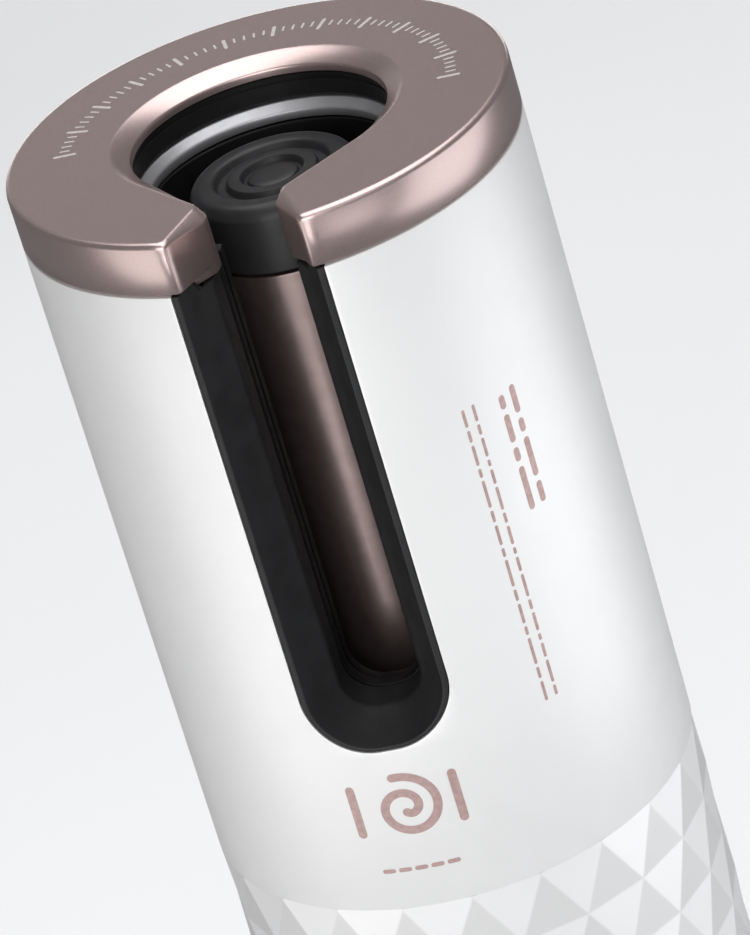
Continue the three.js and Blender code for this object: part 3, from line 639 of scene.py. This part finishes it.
def bezel_frame():
    """A lip of [inset, depth] in millimetres, a slope, the throat and a flange behind it."""
    surface = RADIUS - 0.03 * MM
    throat_y = 25 * MM
    back_y = 20.6 * MM
    flange = 1.2 * MM
    full = SLOT_HALF - THROAT_HALF
    rise = THROAT_BOTTOM - SLOT_BOTTOM
    lip = (
        (0, 2.5), (0, 0.25), (0.05, 0.06), (0.14, 0), (0.62, 0), (0.75, 0.05), (0.83, 0.2),
        (0.90, 0.42),
    )
    slope_steps, bulge = 10, 0.10
    loops = []

    def outline(share, top):
        half = SLOT_HALF - full * share
        corner = SLOT_CORNER + (THROAT_CORNER - SLOT_CORNER) * share
        return slot_outline(half, SLOT_BOTTOM + rise * share, top, corner)

    top = SHELL_TOP
    notch = SKIRT_BOTTOM - 0.3 * MM
    for inset, depth in lip:
        loops.append([
            Vector((x, -(math.sqrt(surface**2 - x**2) - depth * MM), z))
            for x, z in outline(inset * MM / full, top)
        ])
    start = loops[-1]
    start_share = lip[-1][0] * MM / full
    for i in range(1, slope_steps + 1):
        t = i / slope_steps
        share = start_share + (1 - start_share) * t
        points = outline(share, top if t < 0.5 else notch)
        loop = []
        for (x, z), before in zip(points, start):
            eased = t + bulge * math.sin(math.pi * t)
            loop.append(Vector((x, before.y + (-throat_y - before.y) * eased, z)))
        loops.append(loop)
    points = outline(1, notch)
    loops.append([Vector((x, -throat_y + 0.25 * MM, z)) for x, z in points])
    loops.append([Vector((x, -back_y, z)) for x, z in points])
    back = slot_outline(
        THROAT_HALF + flange, THROAT_BOTTOM - flange, notch, THROAT_CORNER + flange,
    )
    loops.append([Vector((x, -back_y, z)) for x, z in back])
    loops.append([Vector((x, -throat_y - 1.0 * MM, z)) for x, z in back])
    count = len(loops[0])
    vertices = [v for loop in loops for v in loop]
    faces = []
    for k in range(len(loops)):
        faces += band(k * count, (k + 1) % len(loops) * count, count, closed=False)
    faces.append(tuple(k * count for k in range(len(loops))))
    faces.append(tuple(reversed([k * count + count - 1 for k in range(len(loops))])))
    piece = mesh_object("slot_funnel", vertices, faces)
    finish_piece(piece, FUNNEL_BLACK, "casing", "slot_bezel", smooth_angle=55)


PAST_WALL = 24 * MM


def chamber_wall():
    low, high = z_span("chamber_tube")
    inner, outer, flange = 18.6 * MM, 20.2 * MM, outer_radius("chamber_tube")
    step = 2 * MM
    profile = (
        (inner, low), (flange, low), (flange, low + step), (outer, low + step), (outer, high),
        (inner, high),
    )
    piece = turned("chamber_wall", profile, 160)
    cut(piece, slot_cutter(THROAT_HALF, THROAT_BOTTOM, THROAT_CORNER, far=PAST_WALL))
    bevelled(piece, 0.12 * MM, 2, 60)
    finish_piece(piece, SLOT_SHADE_BLACK, "casing", "chamber_tube")


head_shell()
bezel_frame()
chamber_wall()

# ---- drum


def drum_shell():
    """A cup with a hub under it and four ribs inside its wall."""
    low, high = z_span("winding_drum")
    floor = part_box("barrel_sleeve")[0].z + 0.1 * MM
    inner, outer = 15.9 * MM, outer_radius("winding_drum")
    hole, hub_inner, hub_outer = 11.4 * MM, 12.5 * MM, 13.9 * MM
    edge, thickness = 0.2 * MM, 1.6 * MM
    profile = (
        (hub_inner, low), (hub_outer, low), (hub_outer, floor), (outer, floor),
        (outer, high - edge), (outer - edge, high), (inner + edge, high), (inner, high - edge),
        (inner, floor + 2.2 * MM), (inner - 0.6 * MM, floor + thickness),
        (hole, floor + thickness), (hole, floor), (hub_inner, floor),
    )
    piece = turned("drum_shell", profile, 160)
    ribs = []
    for degrees in (45, 135, 225, 315):
        rib = rounded_outline(0.6 * MM, 0.7 * MM, 0.5 * MM, inner, steps=4)
        turn = Matrix.Rotation(math.radians(degrees), 4, "Z")
        ribs.append(prism(
            "rib", rib,
            lambda p: turn @ Vector((p[0], -p[1], floor + 1.2 * MM)),
            lambda p: turn @ Vector((p[0], -p[1], high - 6 * MM)),
        ))
    cut(piece, *ribs, operation="UNION")
    slot_bottom = THROAT_BOTTOM - 0.8 * MM
    cut(piece, slot_cutter(THROAT_HALF, slot_bottom, THROAT_CORNER, far=PAST_WALL))
    bevelled(piece, 0.15 * MM, 2, 50)
    finish_piece(piece, SLOT_SHADE_BLACK, "drum", "winding_drum")


def drum_trim():
    low, high = z_span("drum_rim")
    inner, outer = 15.8 * MM, outer_radius("drum_rim")

    def opening(r):
        return math.asin((THROAT_HALF + 1.1 * MM) / r)

    profile = (
        (inner, low), (outer, low), (outer, high - 0.3 * MM), (outer - 0.1 * MM, high - 0.1 * MM),
        (outer - 0.3 * MM, high), (outer - 0.95 * MM, high - 0.03 * MM),
        (outer - 1.1 * MM, high - 0.1 * MM), (outer - 1.25 * MM, high - 0.26 * MM),
        (inner + 0.22 * MM, high - 0.98 * MM), (inner + 0.06 * MM, high - 1.14 * MM),
        (inner, high - 1.35 * MM),
    )
    piece = turned("drum_trim", profile, 200, opening, lambda r: 2 * math.pi - opening(r))
    bevelled(piece, 0.12 * MM, 2, 60)
    finish_piece(piece, SILVER, "drum", "drum_rim", smooth_angle=30)


drum_shell()
drum_trim()

# ---- barrel


def heated_barrel():
    low, high = z_span("barrel_sleeve")
    inner, outer = 9.4 * MM, outer_radius("barrel_sleeve")
    fillet = 0.35 * MM
    profile = (
        (inner, low), (outer, low), (outer, high - fillet),
        (outer - fillet * 0.3, high - fillet * 0.3), (outer - fillet, high), (inner, high),
    )
    piece = turned("heated_barrel", profile, 192)
    finish_piece(piece, BRONZE, "casing", "barrel_sleeve")


def barrel_tip():
    """A plug, a rounded rim and two ring grooves, in millimetres."""
    low, high = z_span("barrel_end_cap")
    radius = outer_radius("barrel_end_cap")
    r, h = radius / MM, high / MM
    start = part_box("barrel_sleeve")[1].z / MM + 0.3
    plug, groove = 9.0, h - 1.1
    rounded = (
        (plug, low / MM), (plug, start), (r - 0.2, start), (r, start + 0.2), (r, h - 1.9),
        (r - 0.1, h - 1.5), (r - 0.35, h - 0.95), (r - 0.75, h - 0.42), (r - 1.2, h - 0.1),
        (9.2, h), (7.95, h - 0.02), (7.65, h - 0.12), (7.4, h - 0.4), (7.25, h - 0.95),
        (7.1, groove), (6.1, groove), (5.95, h - 0.95), (5.85, h - 0.5), (5.65, h - 0.25),
        (5.3, h - 0.18), (4.5, h - 0.18), (4.15, h - 0.25), (3.95, h - 0.5), (3.85, h - 1.0),
        (3.75, groove), (3.35, groove), (3.25, h - 1.0), (3.15, h - 0.75), (2.9, h - 0.6),
        (2.0, h - 0.5), (1.0, h - 0.46), (0, h - 0.45), (0, low / MM),
    )
    piece = turned("barrel_tip", in_metres(rounded), 144)
    finish_piece(piece, SOFT_BLACK, "casing", "barrel_end_cap")


heated_barrel()
barrel_tip()

# ---- grip

COLUMNS, ROWS = 22, 12
PANEL_Z = (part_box("panel_bezel")[0].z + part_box("panel_bezel")[1].z) / 2
PANEL_HALF = outer_radius("panel_bezel")
PANEL_HALF_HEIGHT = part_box("panel_bezel")[1].z - PANEL_Z
PANEL_CORNER = 9 * MM


def panel_outline(inset):
    half, half_height = PANEL_HALF - inset, PANEL_HALF_HEIGHT - inset
    corner = max(PANEL_CORNER - inset, 0.02 * MM)
    return rounded_outline(half, half_height, corner, PANEL_Z, steps=14)


def faceted_grip():
    """Rows of vertices, each turned half a column from the row above, joined by triangles."""
    pitch = (GRIP_TOP - GRIP_LOW) / ROWS
    inner = 29.6 * MM
    bm = bmesh.new()
    rows = []
    for row in range(ROWS + 1):
        ring = []
        for column in range(COLUMNS):
            turn = column + (0.5 if row % 2 == 0 else 0)
            x, y = polar(RADIUS, 360 * turn / COLUMNS)
            ring.append(bm.verts.new((x, y, GRIP_TOP - row * pitch)))
        rows.append(ring)
    for row in range(ROWS):
        above, below = rows[row], rows[row + 1]
        for column in range(COLUMNS):
            following = (column + 1) % COLUMNS
            if row % 2 == 0:
                bm.faces.new((above[column], below[column], below[following]))
                bm.faces.new((above[column], below[following], above[following]))
            else:
                bm.faces.new((above[column], below[column], above[following]))
                bm.faces.new((above[following], below[column], below[following]))
    ridges = [edge for edge in bm.edges if len(edge.link_faces) == 2]
    bmesh.ops.bevel(
        bm, geom=ridges, offset=0.13 * MM, segments=2, profile=0.5, affect="EDGES",
        clamp_overlap=True,
    )
    bmesh.ops.holes_fill(bm, edges=[e for e in bm.edges if len(e.link_faces) == 1])
    bmesh.ops.recalc_face_normals(bm, faces=bm.faces)
    mesh = bpy.data.meshes.new("faceted_grip")
    bm.to_mesh(mesh)
    bm.free()
    piece = new_object("faceted_grip", mesh)
    margin = 1 * MM
    bore = turned("cutter", ((0, GRIP_LOW - margin), (inner, GRIP_LOW - margin),
                             (inner, GRIP_TOP + margin), (0, GRIP_TOP + margin)), 160)
    opening = frontal_prism("cutter", panel_outline(-0.12 * MM), 15 * MM, CLEAR)
    cut(piece, bore, opening)
    # The grip's facets carry painted shade in their base colour.
    finish_piece(piece, FACET_PEARL_WITH_PAINTED_SHADE, "casing", "grip_shell", smooth_angle=1)
    for polygon in piece.data.polygons:
        polygon.use_smooth = False


faceted_grip()

# ---- base

PORT_Z = (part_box("charging_socket")[0].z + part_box("charging_socket")[1].z) / 2


def post(x, y, radius, low, high, steps=24):
    outline = round_outline(x, y, radius, steps)
    return prism("cutter", outline, lambda p: (*p, low), lambda p: (*p, high))


def port_prism(name, half, half_height, near, far):
    outline = rounded_outline(half, half_height, half_height * 0.98, PORT_Z, steps=10)
    return rear_prism(name, outline, near, far)


def base_collar():
    """A grooved collar with a spigot inside the grip and a recess for the foot."""
    low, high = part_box("base_ring")[0].z / MM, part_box("base_ring")[1].z / MM
    r, pad, top = RADIUS / MM, 27.4, GRIP_LOW / MM - 0.4
    recess, floor, spigot_outer, spigot_inner = 2.4, 5.4, 29.3, 27.9
    bend, curve = 0.8, 0.45
    corner = [(r - bend + bend * math.sin(a), low + bend - bend * math.cos(a))
              for a in (math.radians(15 * i) for i in range(7))]
    shoulder = [(r - curve + curve * math.cos(a), top - curve + curve * math.sin(a))
                for a in (math.radians(18 * i) for i in range(6))]
    profile = [
        (0, recess), (pad, recess), (pad, low + 0.15), (pad + 0.15, low), *corner,
        (r, 2.75), (r - 0.06, 2.8), (r - 0.3, 3.0), (r - 0.3, 3.3), (r - 0.06, 3.5), (r, 3.55),
        *shoulder, (spigot_outer, top), (spigot_outer, high), (spigot_inner, high),
        (spigot_inner, floor), (0, floor),
    ]
    piece = turned("base_collar", in_metres(profile), 200)
    cutters = []
    for node in ("base_screw_1", "base_screw_2", "base_screw_3"):
        low_corner, high_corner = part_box(node)
        x, y = (low_corner.x + high_corner.x) / 2, (low_corner.y + high_corner.y) / 2
        shank_hole = post(x, y, 1.7 * MM, 0, 10 * MM)
        head_hole = post(x, y, 3 * MM, 0, 4.2 * MM)
        cutters += [shank_hole, head_hole]
    cutters.append(port_prism("cutter", 4.9 * MM, 2 * MM, 24 * MM, CLEAR))
    cut(piece, *cutters)
    bevelled(piece, 0.14 * MM, 2, 62)
    finish_piece(piece, ROSE, "casing", "base_ring", smooth_angle=32)


def grip_foot():
    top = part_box("foot_pad")[1].z / MM
    rim = outer_radius("foot_pad") / MM
    hollow, slope, chamfer = 0.45, 0.3, 0.35
    profile = [(0, hollow)]
    for start, end in ((4, 8.5), (11, 15.5)):
        profile += [(start - slope, hollow), (start, 0), (end, 0), (end + slope, hollow)]
    profile += [(18 - slope, hollow), (18, 0), (rim - chamfer, 0), (rim, chamfer)]
    profile += [(rim, top - 0.2), (rim - 0.2, top), (0, top)]
    piece = turned("grip_foot", in_metres(profile), 144)
    finish_piece(piece, RUBBER, "casing", "foot_pad", smooth_angle=25)


def charging_inlet():
    low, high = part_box("charging_socket")
    shell = port_prism("charging_inlet", 4.5 * MM, 1.65 * MM, low.y, high.y)
    cut(shell, port_prism("cutter", 4.15 * MM, 1.3 * MM, 25 * MM, 33 * MM))
    bevelled(shell, 0.1 * MM, 2, 50)
    finish_piece(shell, STEEL, "casing", "charging_socket")
    tongue = rounded_outline(3.3 * MM, 0.35 * MM, 0.12 * MM, PORT_Z, steps=3)
    piece = rear_prism("inlet_tongue", tongue, 24.9 * MM, 30.2 * MM)
    bevelled(piece, 0.08 * MM, 2, 50)
    finish_piece(piece, BLACK, "casing", slot="black_plastic")
    contacts, pitch = [], 0.62
    for i in range(-4, 5):
        outline = rounded_outline(
            0.16 * MM, 0.40 * MM, 0.05 * MM, PORT_Z, i * pitch * MM, steps=2,
        )
        contacts.append(rear_prism("inlet_contact", outline, 27.4 * MM, 29.8 * MM))
    bpy.ops.object.select_all(action="DESELECT")
    for contact in contacts:
        contact.select_set(True)
    bpy.context.view_layer.objects.active = contacts[0]
    bpy.ops.object.join()
    contacts[0].name = "inlet_contacts"
    finish_piece(contacts[0], STEEL, "casing", slot="steel")


base_collar()
grip_foot()
charging_inlet()

# ---- controls

# Distances from the axis, then the sizes that several controls share.
PLATE_FACE, GLASS_FACE, KEY_FACE = 31.1 * MM, 31.1 * MM + 0.05 * MM, 31.6 * MM
PANEL_BACK, KEY_BACK, BEHIND_KEYS, ROCKER_AXIS = 28.4 * MM, 27.1 * MM, 20 * MM, 27.6 * MM
GAP = 0.3 * MM
KEY_FLANGE, KEY_DISH, KEY_STEPS = 0.7 * MM, 0.28 * MM, 72


def middle(node):
    low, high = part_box(node)
    return (low.x + high.x) / 2, (low.z + high.z) / 2


def half_size(node):
    low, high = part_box(node)
    return (high.x - low.x) / 2, (high.z - low.z) / 2


def drum_face(radius):
    """A solid cylinder round Z that the front of a control is cut to."""
    return turned("cutter", ((0, 0), (radius, 0), (radius, TOP), (0, TOP)), 360)


def control_surround():
    """A frame round the panel, in millimetres: [inset, distance from the axis, flat or not]."""
    section = (
        (0, 26.8, True), (0, 31.3, False), (0.07, 31.48, False), (0.22, 31.6, False),
        (0.86, 31.6, False), (1.02, 31.5, False), (1.1, 31.3, False), (1.1, 28.1, True),
        (2.3, 28.1, True), (2.3, 26.8, True),
    )
    loops = []
    for inset, distance, flat in section:
        reach = distance * MM
        loops.append([
            Vector((x, -(reach if flat else math.sqrt(reach**2 - x**2)), z))
            for x, z in panel_outline(inset * MM)
        ])
    piece = lofted("control_surround", loops, closed=True)
    finish_piece(piece, ROSE, "casing", "panel_bezel")


def key_hole(node):
    x, z = middle(node)
    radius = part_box(node)[1].x - x - KEY_FLANGE + GAP
    outline = round_outline(x, z, radius, KEY_STEPS)
    return frontal_prism("cutter", outline, BEHIND_KEYS, CLEAR)


def control_plate():
    piece = frontal_prism("control_plate", panel_outline(1.4 * MM), PANEL_BACK, CLEAR)
    cut(piece, drum_face(PLATE_FACE), operation="INTERSECT")
    cutters = [key_hole(node) for node in ("power_button", "heat_button", "timer_button")]
    for node, gap, corner in (
        ("direction_rocker", 0.4 * MM, 2.6 * MM), ("display_window", GAP, 1.9 * MM),
    ):
        half, half_height = half_size(node)
        outline = rounded_outline(half + gap, half_height + gap, corner, middle(node)[1], steps=8)
        cutters.append(frontal_prism("cutter", outline, BEHIND_KEYS, CLEAR))
    cut(piece, *cutters)
    bevelled(piece, 0.18 * MM, 3, 50)
    finish_piece(piece, PEARL, "casing", "control_panel", smooth_angle=30)


def display_glass():
    half, half_height = half_size("display_window")
    outline = rounded_outline(half, half_height, 1.6 * MM, middle("display_window")[1], steps=8)
    piece = frontal_prism("display_glass", outline, PANEL_BACK, CLEAR)
    cut(piece, drum_face(GLASS_FACE), operation="INTERSECT")
    bevelled(piece, 0.2 * MM, 3, 50)
    finish_piece(piece, WINDOW, "casing", "display_window", smooth_angle=30)


def key(name, node, material):
    """A flanged key with a dished face. Returns a function that places marks on the face."""
    x, z = middle(node)
    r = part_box(node)[1].x - x - KEY_FLANGE
    dish, dish_steps = r - 0.6 * MM, 8
    shoulder = KEY_BACK + 0.8 * MM

    def face(share):
        return KEY_FACE - KEY_DISH * (1 - share**2)

    profile = [
        (0, KEY_BACK), (r + KEY_FLANGE, KEY_BACK), (r + KEY_FLANGE, shoulder), (r, shoulder),
        (r, KEY_FACE - 0.5 * MM), (r - 0.05 * MM, KEY_FACE - 0.25 * MM),
        (r - 0.18 * MM, KEY_FACE - 0.08 * MM), (r - 0.4 * MM, KEY_FACE),
    ]
    shares = [1 - i / dish_steps for i in range(dish_steps + 1)]
    profile += [(dish * share, face(share)) for share in shares]
    vertices, faces = [], []
    count = len(profile)
    for column in range(KEY_STEPS):
        angle = 2 * math.pi * column / KEY_STEPS
        vertices += [(x + a * math.cos(angle), -d, z + a * math.sin(angle)) for a, d in profile]
        faces += band(column * count, (column + 1) % KEY_STEPS * count, count, closed=False)
    piece = mesh_object(name, vertices, faces)
    finish_piece(piece, material, node, node, smooth_angle=40)
    return lambda u, v, lift: Vector((
        x + u, -(face(min(1, math.hypot(u, v) / dish)) + lift), z + v,
    ))


def curl_rocker():
    half, half_height = half_size("direction_rocker")
    z = middle("direction_rocker")[1]
    outline = rounded_outline(half, half_height, 2.2 * MM, z, steps=8)
    piece = frontal_prism("curl_rocker", outline, 26.9 * MM, CLEAR)
    cut(piece, drum_face(KEY_FACE), operation="INTERSECT")
    pin_hole = post(0, -ROCKER_AXIS, 1 * MM, z - 8 * MM, z + 8 * MM)
    cut(piece, pin_hole)
    bevelled(piece, 0.3 * MM, 3, 50)
    finish_piece(piece, PEARL, "direction_rocker", "direction_rocker", smooth_angle=30)


control_surround()
control_plate()
display_glass()
on_power_key = key("power_key", "power_button", ROSE)
on_heat_key = key("heat_key", "heat_button", PEARL)
on_timer_key = key("timer_key", "timer_button", PEARL)
curl_rocker()

# ---- printed marks

PRINT_LIFT = 0.035 * MM


def strokes(name, paths, width, place, material, body, slot, lift=PRINT_LIFT):
    """Raised lines with round ends. place puts a path's points, in metres, on a surface."""
    vertices, faces = [], []
    half = width / 2
    turns = [math.radians(22.5 * i + 4) for i in range(4)]
    for path in paths:
        points = [Vector(p) for p in path]
        ahead = (points[1] - points[0]).normalized()
        behind = (points[-1] - points[-2]).normalized()
        run = [(points[0] - ahead * half * math.cos(a), half * math.sin(a)) for a in turns]
        run += [(p, half) for p in points]
        run += [
            (points[-1] + behind * half * math.cos(a), half * math.sin(a))
            for a in reversed(turns)
        ]
        start = len(vertices)
        for i, (point, reach) in enumerate(run):
            along = run[min(i + 1, len(run) - 1)][0] - run[max(i - 1, 0)][0]
            side = Vector((-along.y, along.x)).normalized() * reach
            for offset, height in ((side, lift), (-side, lift), (-side, -lift), (side, -lift)):
                vertices.append(place(*(point + offset), height))
        for i in range(len(run) - 1):
            faces += band(start + 4 * i, start + 4 * i + 4, 4)
        last = start + 4 * (len(run) - 1)
        faces += [tuple(start + k for k in range(4)), tuple(last + 3 - k for k in range(4))]
    piece = mesh_object(name, vertices, faces)
    finish_piece(piece, material, body, slot=slot)


def line(a, b, steps=4):
    a, b = Vector(a) * MM, Vector(b) * MM
    return [a.lerp(b, i / steps) for i in range(steps + 1)]


def arc(centre, radius, first, last, steps=24):
    """An arc in millimetres, its angles in degrees from +u towards +v."""
    points = []
    for i in range(steps + 1):
        angle = math.radians(first + (last - first) * i / steps)
        u = centre[0] * MM + radius * MM * math.cos(angle)
        points.append((u, centre[1] * MM + radius * MM * math.sin(angle)))
    return points


def on_shell(u, v, lift):
    """u runs round the shell from the front, v is the height."""
    x, y = polar(RADIUS + lift, math.degrees(u / RADIUS))
    return Vector((x, y, v))


def dashes(u, lengths, low, high, gap):
    """A column of vertical dashes from low upwards, as many as fit."""
    paths, z, i = [], low, 0
    while z < high:
        length = lengths[i % len(lengths)]
        paths.append(line((u, z), (u, min(z + length, high))))
        z += length + gap
        i += 1
    return paths


def shell_marks():
    """Plain dashes to the right of the slot, and a generic spiral between bars under it."""
    degree = RADIUS / MM * math.pi / 180
    bold, fine = [], []
    for column, lengths in ((48.0, (5.2, 1.0, 3.0, 1.0)), (51.6, (2.0, 4.6, 1.0, 3.0))):
        bold += dashes(column * degree, lengths, low=163, high=179.4, gap=1.7)
    strokes("side_mark_bold", bold, 0.9 * MM, on_shell, PRINT, "casing", "rose_paint")
    for column, lengths in ((37.6, (2.4, 1.2, 3.4, 0.8)), (40.4, (1.0, 2.8, 1.6, 0.5, 2.2))):
        fine += dashes(column * degree, lengths, low=138, high=179.6, gap=0.9)
    strokes("side_mark_fine", fine, 0.42 * MM, on_shell, PRINT, "casing", "rose_paint")
    spiral, steps, middle_z = [], 72, 130.2
    for i in range(steps + 1):
        turn = math.radians(-100 + 560 * i / steps)
        radius = 0.7 + 3.9 * (i / steps) ** 0.9
        spiral.append((radius * MM * math.cos(turn), (middle_z + radius * math.sin(turn)) * MM))
    bars = [line((u, 133.6), (u, 127.0)) for u in (-6.6, 6.6)]
    strokes("front_emblem", [spiral] + bars, 1.15 * MM, on_shell, PRINT, "casing", "rose_paint")
    small = [line((u, 121.2), (u + 1.1, 121.2)) for u in (-5.2, -3.1, -1.0, 1.1, 3.2)]
    strokes("front_mark_line", small, 0.6 * MM, on_shell, PRINT, "casing", "rose_paint")


def cap_marks():
    """A dial scale without numbers round the back of the mouth, every fifth tick long."""
    ticks = range(-30, 31)
    degrees_apart, long_every = 3, 5
    long_ticks = [i for i in ticks if i % long_every == 0]
    short_ticks = [i for i in ticks if i % long_every]
    for name, places, inner, outer, width in (
        ("cap_long_ticks", long_ticks, 23.0, 26.0, 0.5),
        ("cap_short_ticks", short_ticks, 24.0, 25.4, 0.3),
    ):
        outline = rounded_outline(width / 2 * MM, (outer - inner) / 2 * MM, width * 0.49 * MM,
                                  (outer + inner) / 2 * MM, steps=3)
        count = len(outline)
        vertices, faces = [], []
        for i in places:
            turn = Matrix.Rotation(math.radians(degrees_apart * i), 4, "Z")
            low_start, high_start = len(vertices), len(vertices) + count
            for height in (-PRINT_LIFT, PRINT_LIFT):
                vertices += [turn @ Vector((x, y, TOP + height)) for x, y in outline]
            faces.append(tuple(range(low_start, low_start + count)))
            faces.append(tuple(reversed(range(high_start, high_start + count))))
            faces += band(low_start, high_start, count)
        piece = mesh_object(name, vertices, faces)
        finish_piece(piece, PALE_PRINT, "casing", slot="rose_paint")


def key_marks():
    ring = arc((0, 0), 1.5, 125, 415, 30)
    strokes("power_icon", [ring, line((0, 0.5), (0, 1.9))], 0.34 * MM, on_power_key, PALE_PRINT,
            "power_button", "pearl_plastic")
    waves, steps, sway, height = [], 16, 0.22, 2.5
    for u in (-0.95, 0, 0.95):
        waves.append([
            ((u + sway * math.sin(2 * math.pi * i / steps)) * MM,
             (-height / 2 + height * i / steps) * MM)
            for i in range(steps + 1)
        ])
    strokes("heat_icon", waves, 0.3 * MM, on_heat_key, PRINT, "heat_button", "rose_paint")
    clock = [
        arc((0, 0), 1.4, 90, 446, 36), line((0, 0.05), (0, 0.85)),
        line((0.28, -0.05), (0.72, -0.05)),
    ]
    strokes("timer_icon", clock, 0.28 * MM, on_timer_key, PRINT, "timer_button", "rose_paint")

    z = middle("direction_rocker")[1]

    def on_rocker(u, v, lift):
        return Vector((u, -(math.sqrt(KEY_FACE**2 - u**2) + lift), z + v))

    arrows, centre, radius = [], 4.3, 1.35
    for side in (-1, 1):
        arrows.append([(side * u, v) for u, v in arc((centre, 0), radius, 120, -150, 24)])
        u, v = side * (centre - radius * 0.5), radius * 0.866
        arrows.append(line((u, v), (u + side * 0.95, v + 0.35), 2))
        arrows.append(line((u + side * 0.05, v - 0.28), (u + side * 0.25, v - 0.95), 2))
    arrows.append(line((0, -1.1), (0, 1.1)))
    strokes("rocker_icons", arrows, 0.34 * MM, on_rocker, PRINT, "direction_rocker", "rose_paint")

    window_z = middle("display_window")[1]

    def on_glass(u, v, lift):
        return Vector((u, -(math.sqrt(GLASS_FACE**2 - u**2) + lift), window_z + v))

    bars = [line((-4.4 + 1.5 * i, -1.6), (-4.4 + 1.5 * i, -0.6 + 1.1 * i)) for i in range(3)]
    battery = [line((1.0, v), (4.0, v)) for v in (1.2, -1.2)]
    battery += [
        line((u, -reach), (u, reach))
        for u, reach in ((0.6, 0.8), (4.4, 0.8), (5.0, 0.3), (1.6, 0.35), (2.5, 0.35), (3.4, 0.35))
    ]
    strokes("display_marks", bars + battery, 0.3 * MM, on_glass, PALE_PRINT,
            "casing", "pearl_plastic", 0.02 * MM)


shell_marks()
cap_marks()
key_marks()

# ---- floor and light


def make_floor():
    half = 3.0
    corners = [(-half, -half, 0), (half, -half, 0), (half, half, 0), (-half, half, 0)]
    floor = mesh_object("floor", corners, [(0, 1, 2, 3)])
    shader = Shader("pale_floor")
    shader.colour(shader.noise(3, 2), (0.95, 0.95, 0.955), (0.965, 0.965, 0.97))
    shader.bsdf.inputs["Roughness"].default_value = 0.9
    floor.data.materials.append(shader.material)
    floor.visible_glossy = False


def softbox(name, azimuth, elevation, distance, width, height, power, colour):
    """A rectangular light aimed at the head of the object. Azimuth 0 is the camera's side."""
    data = bpy.data.lights.new(name, "AREA")
    data.shape = "RECTANGLE"
    data.size, data.size_y = width, height
    data.energy = power
    data.color = colour
    light = bpy.data.objects.new(name, data)
    light.visible_camera = False
    bpy.context.collection.objects.link(light)
    across = distance * math.cos(math.radians(elevation))
    x, y = polar(across, CAMERA_AZIMUTH + azimuth)
    target = Vector((0, 0, 0.6 * TOP))
    place = Vector((x, y, target.z + distance * math.sin(math.radians(elevation))))
    turn = (target - place).to_track_quat("-Z", "Y").to_matrix().to_4x4()
    light.matrix_world = Matrix.Translation(place) @ turn


def make_world():
    world = bpy.data.worlds.new("studio")
    world.use_nodes = True
    background = world.node_tree.nodes["Background"]
    background.inputs["Color"].default_value = (0.93, 0.95, 1.0, 1)
    background.inputs["Strength"].default_value = 0.155
    bpy.context.scene.world = world
    bpy.context.scene.view_settings.view_transform = "Standard"


make_floor()
make_world()
# Name, azimuth and elevation in degrees, distance, width and height in metres, watts, colour.
SOFTBOXES = (
    ("left_strip_softbox", -60, -7, 0.22, 0.16, 0.20, 0.125, (1.0, 0.99, 0.97)),
    ("right_strip_softbox", 77, -7, 0.22, 0.21, 0.20, 0.19, (0.97, 0.98, 1.0)),
    ("front_strip_softbox", -18, -8, 0.36, 0.07, 0.14, 0.12, (1, 1, 1)),
    ("corner_strip_softbox", 26, -8, 0.30, 0.14, 0.14, 0.06, (1, 1, 1)),
    ("front_softbox", -14, 20, 0.5, 0.4, 0.3, 0.95, (1, 1, 1)),
    ("left_softbox", -20, 30, 1.2, 0.5, 0.5, 0.4, (1, 1, 1)),
    ("right_softbox", 30, 34, 1.2, 0.5, 0.5, 0.6, (1, 1, 1)),
    ("top_softbox", 110, 81, 1.1, 1.5, 1.2, 13.2, (1, 1, 1)),
    ("rear_softbox", -168, 14, 0.45, 0.3, 0.3, 0.06, (1, 1, 1)),
    ("back_softbox", 175, 0, 1.2, 1.0, 0.24, 2.0, (1, 1, 1)),
)
for box in SOFTBOXES:
    softbox(*box)
